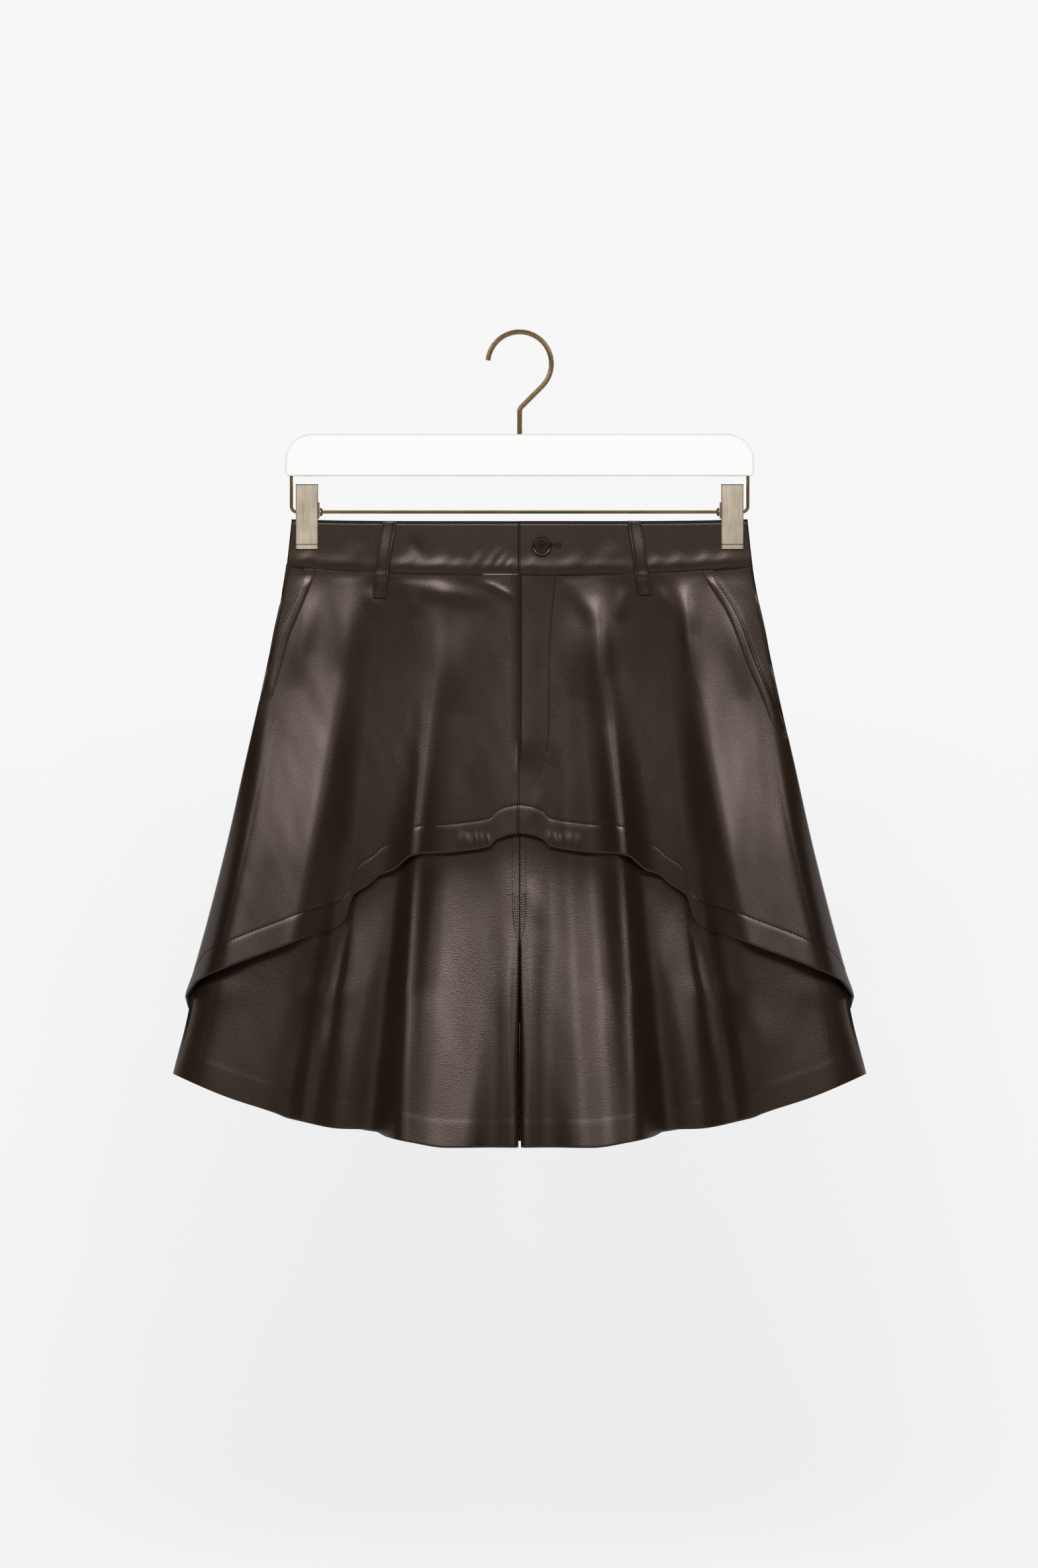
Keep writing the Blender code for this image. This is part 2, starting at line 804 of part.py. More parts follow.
def button():
    profile = (
        (0.0, 0.5 * BUTTON_THICK - 0.8),
        (BUTTON_RADIUS - 2.4, 0.5 * BUTTON_THICK - 0.8),
        (BUTTON_RADIUS - 1.7, 0.5 * BUTTON_THICK - 0.2),
        (BUTTON_RADIUS - 1.0, 0.5 * BUTTON_THICK),
        (BUTTON_RADIUS - 0.3, 0.5 * BUTTON_THICK - 0.4),
        (BUTTON_RADIUS, 0.0),
        (BUTTON_RADIUS - 0.4, -0.5 * BUTTON_THICK + 0.4),
        (BUTTON_RADIUS - 1.4, -0.5 * BUTTON_THICK),
        (0.0, -0.5 * BUTTON_THICK),
    )
    made = turned("button", profile, BUTTON_HORN)
    across = (BUTTON_X + BUTTON_RADIUS * np.array([-1.0, 0.0, 1.0])) / half_width(BUTTON_Z)
    x = across * half_width(BUTTON_Z)
    under = float(np.max(band_depth(across, BUTTON_Z) + right_over(x)))
    place = (BUTTON_X, -(under + GAP + 0.5 * BUTTON_THICK), BUTTON_Z)
    made.location = [c * MM for c in place]
    made.rotation_euler = (0.5 * math.pi, 0.0, 0.0)
    for index, (dx, dz) in enumerate(((-1, -1), (1, -1), (-1, 1), (1, 1))):
        hole = cylinder(
            f"button_hole_{index}",
            BUTTON_HOLE_RADIUS,
            3 * BUTTON_THICK,
            (place[0] + dx * BUTTON_HOLE_OFFSET, place[1], place[2] + dz * BUTTON_HOLE_OFFSET),
            "Y",
            sides=8,
        )
        combine(made, hide_cutter(hole), "DIFFERENCE")


# --- hanger ----------------------------------------------------------------------------


def arc(centre, radius, start, end, count):
    """Points (x, z) round an arc, its angles in degrees from +X towards +Z."""
    angles = np.radians(np.linspace(start, end, count))
    return [(centre[0] + radius * math.cos(a), centre[1] + radius * math.sin(a)) for a in angles]


def wire(name, path, radius):
    """A round wire in the mid plane."""
    curve = bpy.data.curves.new(name, "CURVE")
    curve.dimensions = "3D"
    curve.bevel_depth = radius * MM
    curve.bevel_resolution = 2
    curve.use_fill_caps = True
    spline = curve.splines.new("POLY")
    spline.points.add(len(path) - 1)
    for point, (x, z) in zip(spline.points, path):
        point.co = (x * MM, 0.0, z * MM, 1.0)
    made = bpy.data.objects.new(name, curve)
    curve.materials.append(BRASS)
    PART.objects.link(made)
    return made


def hook():
    centre = (0.0, -(HOOK_BEND - HOOK_RADIUS))
    path = arc(centre, HOOK_BEND, HOOK_TIP_ANGLE, HOOK_END_ANGLE, 23)
    # The slope runs down to the left at 45 degrees, then bends into the upright stem.
    last_x, last_z = path[-1]
    bend_x = HOOK_NECK_BEND * (1 - math.cos(math.radians(45.0)))
    bend_z = last_z - (last_x - bend_x)
    path += arc((HOOK_NECK_BEND, bend_z - HOOK_NECK_BEND * math.sin(math.radians(45.0))),
                HOOK_NECK_BEND, 135.0, 180.0, 4)
    path.append((0.0, BAR_TOP))
    path.append((0.0, BAR_TOP - BORE_DEPTH + GAP))
    wire("hanger_hook", path, HOOK_RADIUS)


def rod():
    low = ROD_Z + ROD_BEND
    inner = ROD_DROP_X - ROD_BEND
    path = [(-ROD_DROP_X, BAR_BOTTOM + BORE_DEPTH - GAP)]
    path += arc((-inner, low), ROD_BEND, 180.0, 270.0, 5)
    path += arc((inner, low), ROD_BEND, 270.0, 360.0, 5)
    path.append((ROD_DROP_X, BAR_BOTTOM + BORE_DEPTH - GAP))
    wire("hanger_rod", path, WIRE_RADIUS)


def bar():
    """The bar: a flat outline with soft edges, bored for the hook and the rod's ends."""
    inset = BAR_EDGE
    half = BAR_HALF - inset
    top = BAR_TOP - inset
    bottom = BAR_BOTTOM + inset
    big = BAR_TOP_CORNER - inset
    small = BAR_BOTTOM_CORNER - inset
    outline = arc((half - big, top - big), big, 0.0, 90.0, 9)
    outline += arc((-half + big, top - big), big, 90.0, 180.0, 9)
    outline += arc((-half + small, bottom + small), small, 180.0, 270.0, 4)
    outline += arc((half - small, bottom + small), small, 270.0, 360.0, 4)
    curve = bpy.data.curves.new("bar_outline", "CURVE")
    curve.dimensions = "2D"
    curve.fill_mode = "BOTH"
    curve.extrude = (0.5 * BAR_DEPTH - inset) * MM
    curve.bevel_depth = inset * MM
    curve.bevel_resolution = 1
    spline = curve.splines.new("POLY")
    spline.points.add(len(outline) - 1)
    for point, (x, z) in zip(spline.points, outline):
        point.co = (x * MM, z * MM, 0.0, 1.0)
    spline.use_cyclic_u = True
    guide = bpy.data.objects.new("bar_outline", curve)
    guide.rotation_euler = (0.5 * math.pi, 0.0, 0.0)
    CUTTERS.objects.link(guide)
    bpy.context.view_layer.update()
    mesh = bpy.data.meshes.new_from_object(guide.evaluated_get(bpy.context.evaluated_depsgraph_get()))
    shape = bmesh.new()
    shape.from_mesh(mesh)
    bmesh.ops.remove_doubles(shape, verts=shape.verts, dist=0.00001)
    bmesh.ops.recalc_face_normals(shape, faces=shape.faces)
    shape.to_mesh(mesh)
    shape.free()
    mesh.materials.clear()
    made = put("hanger_bar", mesh, WHITE_PAINT)
    made.matrix_world = guide.matrix_world.copy()
    bpy.data.objects.remove(guide)
    bores = (
        ("hook_bore", HOOK_RADIUS, 0.0, BAR_TOP),
        ("rod_bore_left", WIRE_RADIUS, -ROD_DROP_X, BAR_BOTTOM),
        ("rod_bore_right", WIRE_RADIUS, ROD_DROP_X, BAR_BOTTOM),
    )
    for name, radius, x, z in bores:
        cutter = cylinder(name, radius + GAP, 2 * BORE_DEPTH, (x, 0.0, z), "Z")
        combine(made, hide_cutter(cutter), "DIFFERENCE")


def block(name, low, high, home=None):
    """A box between two corners."""
    mesh = bpy.data.meshes.new(name)
    shape = bmesh.new()
    bmesh.ops.create_cube(shape, size=1.0)
    size = [(b - a) * MM for a, b in zip(low, high)]
    middle = [0.5 * (a + b) * MM for a, b in zip(low, high)]
    bmesh.ops.scale(shape, vec=size, verts=shape.verts)
    bmesh.ops.translate(shape, vec=middle, verts=shape.verts)
    shape.to_mesh(mesh)
    shape.free()
    return put(name, mesh, BRASS, home)


def span(a, b, sign):
    return (a, b) if sign > 0 else (-b, -a)


def jaw(side, sign, facing):
    """One jaw of a clip: a plate against the band, with ears round the rod and a lip."""
    face = "front" if facing < 0 else "back"
    name = f"clip_{face}_{side}"
    near = BAND_SIDE + GAP
    far = near + CLIP_WALL
    x0, x1 = span(CLIP_INNER, CLIP_OUTER, sign)
    y0, y1 = span(near, far, facing)
    made = block(name, (x0, y0, CLIP_BOTTOM), (x1, y1, CLIP_TOP))
    y0, y1 = span(near, far + CLIP_LIP_PROUD, facing)
    lip = block(name + "_lip", (x0, y0, CLIP_BOTTOM - 0.4), (x1, y1, CLIP_BOTTOM + CLIP_LIP), CUTTERS)
    combine(made, hide_cutter(lip), "UNION")
    ears = ((CLIP_INNER, CLIP_INNER + CLIP_EAR), (CLIP_OUTER - CLIP_EAR, CLIP_OUTER))
    if facing > 0:
        inner = CLIP_INNER - GAP
        outer = CLIP_OUTER - CLIP_EAR - GAP
        ears = ((inner - CLIP_EAR, inner), (outer - CLIP_EAR, outer))
    for index, (a, b) in enumerate(ears):
        x0, x1 = span(a, b, sign)
        y0, y1 = span(-3.2, far, facing)
        ear = block(f"{name}_ear_{index}", (x0, y0, CLIP_EAR_BOTTOM), (x1, y1, CLIP_EAR_TOP), CUTTERS)
        combine(made, hide_cutter(ear), "UNION")
    if facing > 0:
        # A strap carries the inner ear, which stands just outside the front jaw.
        x0, x1 = span(CLIP_INNER - GAP - CLIP_EAR, CLIP_INNER + 2.0, sign)
        y0, y1 = span(near + 0.1, far, facing)
        strap = block(name + "_strap", (x0, y0, CLIP_EAR_BOTTOM), (x1, y1, CLIP_EAR_TOP), CUTTERS)
        combine(made, hide_cutter(strap), "UNION")
    middle = 0.5 * (CLIP_INNER + CLIP_OUTER) * sign
    eye = cylinder(name + "_eye", WIRE_RADIUS + 0.6, 30.0, (middle, 0.0, ROD_Z), "X")
    combine(made, hide_cutter(eye), "DIFFERENCE")
    edge = made.modifiers.new("soft_edges", "BEVEL")
    edge.width = CLIP_EDGE * MM
    edge.segments = 1
    edge.limit_method = "ANGLE"
    edge.angle_limit = math.radians(60.0)


def collar(side, sign):
    """The flared washer on the rod beside a clip."""
    half = 0.5 * COLLAR_WIDTH
    inner = WIRE_RADIUS + GAP
    profile = (
        (inner, half),
        (COLLAR_NECK, half),
        (COLLAR_RADIUS, -half + 0.8),
        (COLLAR_RADIUS, -half),
        (inner, -half),
        (inner, half),
    )
    made = turned(f"clip_collar_{side}", profile, BRASS, steps=20)
    x = sign * (CLIP_INNER - GAP - CLIP_EAR - GAP - half)
    made.location = (x * MM, 0.0, ROD_Z * MM)
    made.rotation_euler = (0.0, -sign * 0.5 * math.pi, 0.0)


waistband()
overlay_front_piece("overlay_front_left", -1, POCKET_LEFT)
overlay_front_piece("overlay_front_right", 1, POCKET_RIGHT)
overlay_back_piece()
hip_piece("hip_left", -1, POCKET_LEFT)
hip_piece("hip_right", 1, POCKET_RIGHT)
for side_name, side_sign in (("left", -1), ("right", 1)):
    leg_panel(f"leg_front_{side_name}", shorts_front, SHORTS_FRONT_FOLDS, side_sign, -1)
    leg_panel(f"leg_back_{side_name}", shorts_back, SHORTS_BACK_FOLDS, side_sign, 1)
belt_loops()
button()
bar()
hook()
rod()
for side_name, side_sign in (("left", -1), ("right", 1)):
    jaw(side_name, side_sign, -1)
    jaw(side_name, side_sign, 1)
    collar(side_name, side_sign)
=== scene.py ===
"""Divided leather shorts with a flared overlay, hung from a clip hanger: the finished look.

Lengths are millimetres until a mesh is made, +Z up, the garment's front facing -Y.
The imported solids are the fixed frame, and every panel here keeps their form.
"""

import math
from collections import namedtuple

import bpy
import numpy as np
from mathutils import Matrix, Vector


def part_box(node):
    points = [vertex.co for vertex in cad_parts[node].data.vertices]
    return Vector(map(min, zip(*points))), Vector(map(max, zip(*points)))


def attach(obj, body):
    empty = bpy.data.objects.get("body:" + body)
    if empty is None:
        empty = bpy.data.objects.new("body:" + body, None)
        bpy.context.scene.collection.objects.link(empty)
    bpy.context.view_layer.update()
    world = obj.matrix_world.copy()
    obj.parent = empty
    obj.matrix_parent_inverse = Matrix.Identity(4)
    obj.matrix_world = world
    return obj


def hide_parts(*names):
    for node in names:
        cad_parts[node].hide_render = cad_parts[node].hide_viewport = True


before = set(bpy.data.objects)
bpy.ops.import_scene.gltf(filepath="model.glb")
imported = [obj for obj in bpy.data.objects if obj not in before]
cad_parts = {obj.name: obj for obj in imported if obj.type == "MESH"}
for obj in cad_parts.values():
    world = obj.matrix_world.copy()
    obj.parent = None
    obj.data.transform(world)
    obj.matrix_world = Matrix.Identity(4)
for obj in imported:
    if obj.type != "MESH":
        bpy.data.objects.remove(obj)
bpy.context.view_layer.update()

# --- View, wall and light ----------------------------------------------------------------
# A straight front view through a long lens, close before a pale painted wall, lit by soft
# boxes on both sides of the camera, as a garment is photographed for a catalogue.

MM = 0.001
VIEW_CENTRE = (-0.5, -366.7)
VIEW_HEIGHT = 1278.7
VIEW_DISTANCE = 9000.0
SENSOR = 36.0
WALL_BEHIND = 700.0
FLOOR_BELOW = -1450.0
STAGE_REACH = 6000.0
WALL_TOP = 1600.0


def colour(code):
    """A colour given as sRGB hex, as the linear values the shaders take."""
    parts = [int(code[i:i + 2], 16) / 255.0 for i in (1, 3, 5)]
    return [p / 12.92 if p <= 0.04045 else ((p + 0.055) / 1.055) ** 2.4 for p in parts] + [1.0]


def node(tree, kind, inputs=None, **settings):
    """Adds a node: inputs are linked if they are sockets, and set if they are values."""
    made = tree.nodes.new(kind)
    for name, value in settings.items():
        setattr(made, name, value)
    for name, value in (inputs or {}).items():
        if isinstance(value, bpy.types.NodeSocket):
            tree.links.new(value, made.inputs[name])
        else:
            made.inputs[name].default_value = value
    return made


def new_material(name):
    """An empty material: its node tree and its output's surface socket."""
    made = bpy.data.materials.new(name)
    made.use_nodes = True
    made.node_tree.nodes.clear()
    output = node(made.node_tree, "ShaderNodeOutputMaterial")
    return made, made.node_tree, output.inputs["Surface"]


def plaster():
    """Matt wall paint, smooth and pale. It hides nothing from behind, and lets light through."""
    made, tree, surface = new_material("matt_wall_paint")
    paint = node(tree, "ShaderNodeBsdfDiffuse", {"Color": colour("#8c8c8c"), "Roughness": 0.6})
    glow = node(tree, "ShaderNodeEmission", {"Color": colour("#ffffff"), "Strength": 0.7})
    lit = node(tree, "ShaderNodeAddShader", {0: paint.outputs[0], 1: glow.outputs[0]})
    clear = node(tree, "ShaderNodeBsdfTransparent")
    side = node(tree, "ShaderNodeNewGeometry")
    ray = node(tree, "ShaderNodeLightPath")
    open_side = node(tree, "ShaderNodeMath", {
        0: side.outputs["Backfacing"], 1: ray.outputs["Is Shadow Ray"],
    }, operation="MAXIMUM")
    mixed = node(tree, "ShaderNodeMixShader", {
        0: open_side.outputs[0],
        1: lit.outputs[0],
        2: clear.outputs[0],
    })
    tree.links.new(mixed.outputs[0], surface)
    return made


def stage_plane(name, corners, finish):
    mesh = bpy.data.meshes.new(name)
    mesh.from_pydata([[c * MM for c in corner] for corner in corners], [], [(0, 1, 2, 3)])
    mesh.materials.append(finish)
    made = bpy.data.objects.new(name, mesh)
    bpy.context.scene.collection.objects.link(made)


wall_paint = plaster()
stage_plane("wall", [
    (-STAGE_REACH, WALL_BEHIND, FLOOR_BELOW),
    (STAGE_REACH, WALL_BEHIND, FLOOR_BELOW),
    (STAGE_REACH, WALL_BEHIND, WALL_TOP),
    (-STAGE_REACH, WALL_BEHIND, WALL_TOP),
], wall_paint)
stage_plane("floor", [
    (-STAGE_REACH, -STAGE_REACH, FLOOR_BELOW),
    (STAGE_REACH, -STAGE_REACH, FLOOR_BELOW),
    (STAGE_REACH, STAGE_REACH, FLOOR_BELOW),
    (-STAGE_REACH, STAGE_REACH, FLOOR_BELOW),
], wall_paint)

camera_data = bpy.data.cameras.new("camera")
camera_data.sensor_width = SENSOR
camera_data.lens = SENSOR * VIEW_DISTANCE / VIEW_HEIGHT
camera_data.clip_end = 100.0
camera = bpy.data.objects.new("camera", camera_data)
camera.location = (VIEW_CENTRE[0] * MM, -VIEW_DISTANCE * MM, VIEW_CENTRE[1] * MM)
camera.rotation_euler = (0.5 * math.pi, 0.0, 0.0)
bpy.context.scene.collection.objects.link(camera)
bpy.context.scene.camera = camera
bpy.context.scene.view_settings.view_transform = "Standard"

SoftBox = namedtuple("SoftBox", "name x y z width height watts")
AIM = (0.0, 0.0, -0.38)
SOFT_BOXES = (
    SoftBox("key_above", 0.0, -3.2, 1.1, 1.7, 0.45, 74.0),
    SoftBox("fill_right", 1.75, -2.8, 1.05, 1.1, 0.45, 29.0),
    SoftBox("fill_left", -1.75, -2.8, 1.05, 1.1, 0.45, 29.0),
    SoftBox("back_left", -1.2, 2.9, 0.9, 1.4, 0.8, 28.0),
    SoftBox("back_right", 1.2, 2.9, 0.9, 1.4, 0.8, 28.0),
)
for box in SOFT_BOXES:
    lamp = bpy.data.lights.new(box.name, "AREA")
    lamp.shape = "RECTANGLE"
    lamp.size = box.width
    lamp.size_y = box.height
    lamp.energy = box.watts
    lamp_object = bpy.data.objects.new(box.name, lamp)
    lamp_object.location = (box.x, box.y, box.z)
    aim = Vector(AIM) - lamp_object.location
    lamp_object.rotation_euler = aim.to_track_quat("-Z", "Y").to_euler()
    lamp_object.visible_camera = False
    bpy.context.scene.collection.objects.link(lamp_object)

# The room is pale to the eye, and lights the leather only a little.
room = bpy.data.worlds.new("room")
room.use_nodes = True
room.node_tree.nodes.clear()
ray = node(room.node_tree, "ShaderNodeLightPath")
fill = node(room.node_tree, "ShaderNodeBackground", {"Color": colour("#ffffff"), "Strength": 0.014})
seen = node(room.node_tree, "ShaderNodeBackground", {"Color": colour("#f0f0f0"), "Strength": 1.0})
either = node(room.node_tree, "ShaderNodeMixShader", {
    0: ray.outputs["Is Camera Ray"],
    1: fill.outputs[0],
    2: seen.outputs[0],
})
node(room.node_tree, "ShaderNodeOutputWorld", {"Surface": either.outputs[0]})
bpy.context.scene.world = room

# --- Overlay -------------------------------------------------------------------------------
# A flared skirt layer of smooth brown nappa about 1 mm thick: two fronts and one back, cut in
# wide flutes. The hem is turned up 25 mm and stitched, and the right front laps the left.

CLOSED = 0.04
PANEL_WALL = 1.0
HEM_WALL = 2.0
HEM_STITCH = 23.2
HEM_PROUD = 0.13
HEM_DENT = 0.11
SEAM = -197.2
SEAM_RISE = 7.5
SEAM_TUCK = 2.2
SEAM_CALM = 7.0
OVERLAY_SIDE = 4.05
SIDE_MEET = 0.15
SIDE_CLOSED = -0.05
SIDE_WRAP = 0.3
SIDE_WRAP_ROUND = 2.2
WRAP_FROM = 0.93
WRAPPED = 0.01
CLIPPED = 0.86
ROUND_REACH = 235.0
SIDE_ROUND = 2.4
FOLD_REACH = 335.0
FOLD_MOST = 1.45
FOLD_ROUNDING = 0.022
FOLD_ROUNDING_HIGH = 0.031
FOLD_HIGH = -230.0
FOLD_LOW = -430.0
WAVE_COUNT = 26
WAVE_SLOPE = 0.014
RIGHT_END = -1.2
FLY_END = -349.0
FLY_STEP = 1.1
FLY_RIM = 0.55
FLY_ROW_X = (29.7, 26.5, 24.0, 23.8, 22.8, 18.5, 11.0, 5.0)
FLY_ROW_Z = (-199.0, -229.5, -267.3, -313.0, -337.0, -355.3, -366.1, -370.4)
FLY_EDGE_ROW = 0.9
STITCH_FURROW = 0.25
POCKET_SPREAD = 0.7
MOUTH_PUFF = 0.8
MOUTH_ROWS = (2.2, 9.6)
MOUTH_STRIP = 10.5
MOUTH_FADE = 12.0



def table(kind, *rows):
    """Rows of one kind, given as plain numbers in millimetres or in shares of the half width."""
    return tuple(kind(*row) for row in rows)


Level = namedtuple("Level", "z value")
Place = namedtuple("Place", "across value")

# A fold's place across at the waist and at the hem, and its height on the left and right.
Fold = namedtuple("Fold", "waist hem left right")

# A crease is a soft ridge, or a trough if its height is negative, from one point to another.
Crease = namedtuple("Crease", "x0 z0 x1 z1 width height")

SIDE_LINE = table(Level,
    (-662, 300), (-604, 287.3), (-551, 274.2), (-538, 272.4), (-521, 266.6), (-506.5, 262.4),
    (-470.9, 252.7), (-410.4, 237.6), (-350, 224.1), (-300.8, 212.8), (-247, 201.4), (-193, 190.6),
    (-150.7, 185.8),
)
OVERLAY_FRONT_DEPTH = table(Level,
    (-662, 33), (-551, 29), (-470, 24.4), (-400, 20.3), (-350, 17.3), (-300, 14.2), (-260, 12),
    (-225, 10.6), (-197, 10),
)
OVERLAY_BACK_DEPTH = table(Level,
    (-662, 36), (-562, 34), (-470, 32), (-400, 29), (-320, 24), (-250, 16), (-197, 10),
)
OVERLAY_FRONT_FOLDS = table(Fold,
    (0, 0, -1, -2), (0.06, 0.06, -1, -4), (0.12, 0.12, -5, -7), (0.17, 0.17, -8, -1),
    (0.21, 0.21, -9, -6), (0.26, 0.265, -9, -9), (0.3, 0.32, 1, 5), (0.33, 0.348, 13.5, 18.5),
    (0.38, 0.395, -1, 0), (0.45, 0.455, -11, -12), (0.53, 0.525, -12.5, -13), (0.555, 0.545, -14, -14),
    (0.6, 0.58, -18, -18), (0.65, 0.635, 2, 2), (0.69, 0.7, 21.5, 22), (0.73, 0.74, 20.5, 21.5),
    (0.8, 0.81, 21, 21.5), (0.87, 0.88, 21.5, 21.5), (0.94, 0.94, 20, 20), (0.975, 0.975, 13, 13),
    (1, 1, 0, 0),
)
OVERLAY_BACK_FOLDS = table(Fold,
    (0, 0, 9, 9), (0.12, 0.13, -6, -5), (0.25, 0.26, 9, 8.5), (0.4, 0.4, -9, -9), (0.54, 0.53, 11, 10),
    (0.66, 0.66, -6, -5.5), (0.78, 0.79, 10, 9.5), (0.9, 0.9, 4, 4), (1, 1, 0, 0),
)
OVERLAY_FRONT_HEM = table(Place,
    (0, -406.9), (0.03, -407.8), (0.08, -412), (0.103, -417.6), (0.18, -421), (0.25, -422.8),
    (0.33, -423.6), (0.372, -426), (0.4, -432), (0.42, -436.5), (0.465, -441), (0.494, -448),
    (0.548, -458.8), (0.556, -475), (0.6, -486), (0.66, -490.5), (0.768, -501.5), (0.9, -516),
    (0.976, -526.5), (1, -541),
)
OVERLAY_BACK_HEM = table(Place,
    (0, -562), (0.6, -560), (0.9, -556), (0.985, -551), (1, -541),
)
POCKET_LEFT = table(Level,
    (-300, 1), (-272.7, 0.99), (-246.8, 0.982), (-231, 0.966), (-194, 0.925),
)
POCKET_RIGHT = table(Level,
    (-327, 1), (-300, 0.982), (-272.7, 0.952), (-230, 0.911), (-194, 0.83),
)

OVERLAY_FRONT_CREASES = table(Crease,
    (-112, -203, -20, -217, 6.5, 0.75), (-34, -201, -3, -213, 2.6, 0.5),
    (-20, -207, -3, -217, 2.2, 0.45), (-88, -206, -85, -232, 5, 0.7), (-125, -206, -113, -232, 5, 0.8),
    (-140, -204, -146, -280, 12, 0.9), (-166, -202, -172, -262, 7, 0.6), (38, -199, 66, -238, 8, 0.7),
    (60, -204, 74, -280, 12, 0.9), (114, -203, 122, -232, 5, 0.8), (84, -204, 82, -236, 5, 0.7),
    (132, -201, 142, -246, 7, 0.7), (158, -203, 172, -270, 9, 0.5), (62, -212, 66, -320, 9, 2.6),
    (44, -215, 50, -300, 12, 1.2), (133, -204, 143, -300, 6, 2.4), (172, -215, 184, -300, 8, 1.4),
    (-172, -210, -184, -290, 8, 1.2), (-46, -225, -56, -310, 15, 1.3), (17, -366, 10, -404, 6, 0.35),
)
HEM_PUCKERS = (-48.0, -44.0, -40.5, -36.0, -31.0, -26.0, 24.0, 28.5, 33.0, 37.0, 41.5, 47.0)
for k, pucker_x in enumerate(HEM_PUCKERS):
    lean = 1.0 if k % 2 else -0.8
    OVERLAY_FRONT_CREASES += (Crease(pucker_x, -404.0 - k % 3, pucker_x + lean, -421.0, 1.5, 0.55),)
OVERLAY_BACK_CREASES = table(Crease,
    (-104, -204, -112, -252, 6, 1.4), (-60, -203, -64, -240, 6, -1.2), (-26, -202, -24, -246, 6, 1.1),
    (30, -204, 34, -250, 6, 1.2), (66, -202, 68, -244, 6, -1.2), (106, -204, 116, -256, 6, 1.5),
    (-150, -204, -160, -250, 6, 1), (152, -204, 160, -248, 6, 1),
)


def smooth(xs, ys):
    """A curve through the points that keeps between each pair of them."""
    order = np.argsort(xs)
    x = np.asarray(xs, float)[order]
    y = np.asarray(ys, float)[order]
    step = np.diff(x)
    slope = np.diff(y) / step
    tangent = np.zeros(len(x))
    tangent[0] = slope[0]
    tangent[-1] = slope[-1]
    for i in range(1, len(x) - 1):
        if slope[i - 1] * slope[i] > 0:
            tangent[i] = 2 * slope[i - 1] * slope[i] / (slope[i - 1] + slope[i])

    def at(value):
        v = np.clip(value, x[0], x[-1])
        i = np.clip(np.searchsorted(x, v, side="right") - 1, 0, len(step) - 1)
        t = (v - x[i]) / step[i]
        rise = t * t * (3 - 2 * t)
        swing = step[i] * t * (1 - t) * (tangent[i] * (1 - t) - tangent[i + 1] * t)
        return y[i] + (y[i + 1] - y[i]) * rise + swing

    return at


def by_level(rows):
    return smooth([row.z for row in rows], [row.value for row in rows])


def by_place(rows):
    return smooth([row.across for row in rows], [row.value for row in rows])


half_width = by_level(SIDE_LINE)


def ease(t):
    t = np.clip(t, 0.0, 1.0)
    return t * t * (3 - 2 * t)


def seam_height(across):
    return SEAM + SEAM_RISE * np.abs(across) ** 3


def clipped_lens(across):
    return np.clip(1 - (np.abs(across) / CLIPPED) ** 2, 0.0, 1.0) ** 1.5


def round_lens(across):
    return np.sqrt(np.clip(1 - np.abs(across) ** SIDE_ROUND, 0.0, 1.0))


def held_at_side(across):
    return np.clip((np.abs(across) - WRAP_FROM) / (1.0 - WRAP_FROM), 0.0, 1.0)


def rounded(places, heights, rounding=FOLD_ROUNDING):
    """A line through the knots with its corners rounded off, as soft leather takes them."""
    grid = np.linspace(-0.2, 1.2, 2801)
    heights = np.interp(grid, places, heights)
    reach = np.arange(-240, 241) * (grid[1] - grid[0])
    weights = np.exp(-0.5 * (reach / rounding) ** 2)
    padded = np.pad(heights, 240, mode="edge")
    softened = np.convolve(padded, weights / weights.sum(), mode="valid")
    return lambda across: np.interp(across, grid, softened)


def fold_relief(rows):
    """Height of the folds, whose ridges and troughs drift across on their way down."""
    waist = np.array([row.waist for row in rows])
    hem = np.array([row.hem for row in rows])
    middle = 0.5 * (waist + hem)
    mirrored = np.concatenate([-middle[:0:-1], middle])
    drift = rounded(middle, hem - waist)
    left = [row.left for row in rows[:0:-1]] + [row.left for row in rows]
    right = [row.right for row in rows[:0:-1]] + [row.right for row in rows]
    crisp = rounded(mirrored, left), rounded(mirrored, right)
    loose = rounded(mirrored, left, FOLD_ROUNDING_HIGH), rounded(mirrored, right, FOLD_ROUNDING_HIGH)

    def at(across, z):
        share = ease((FOLD_HIGH - z) / (FOLD_HIGH - FOLD_LOW))
        off = np.abs(across)
        place = off - (share - 0.5) * drift(off)
        low = np.where(across < 0, crisp[0](place), crisp[1](place))
        high = np.where(across < 0, loose[0](place), loose[1](place))
        return high + (low - high) * share

    return at


def crease_relief(rows, x, z):
    total = 0.0 * (x + z)
    for row in rows:
        run_x = row.x1 - row.x0
        run_z = row.z1 - row.z0
        length = math.hypot(run_x, run_z)
        along = ((x - row.x0) * run_x + (z - row.z0) * run_z) / length ** 2
        off = ((x - row.x0) * run_z - (z - row.z0) * run_x) / length
        fade = np.sin(math.pi * np.clip(along, 0.0, 1.0)) ** 1.5
        total = total + row.height * fade * np.exp(-(off / row.width) ** 2)
    return total


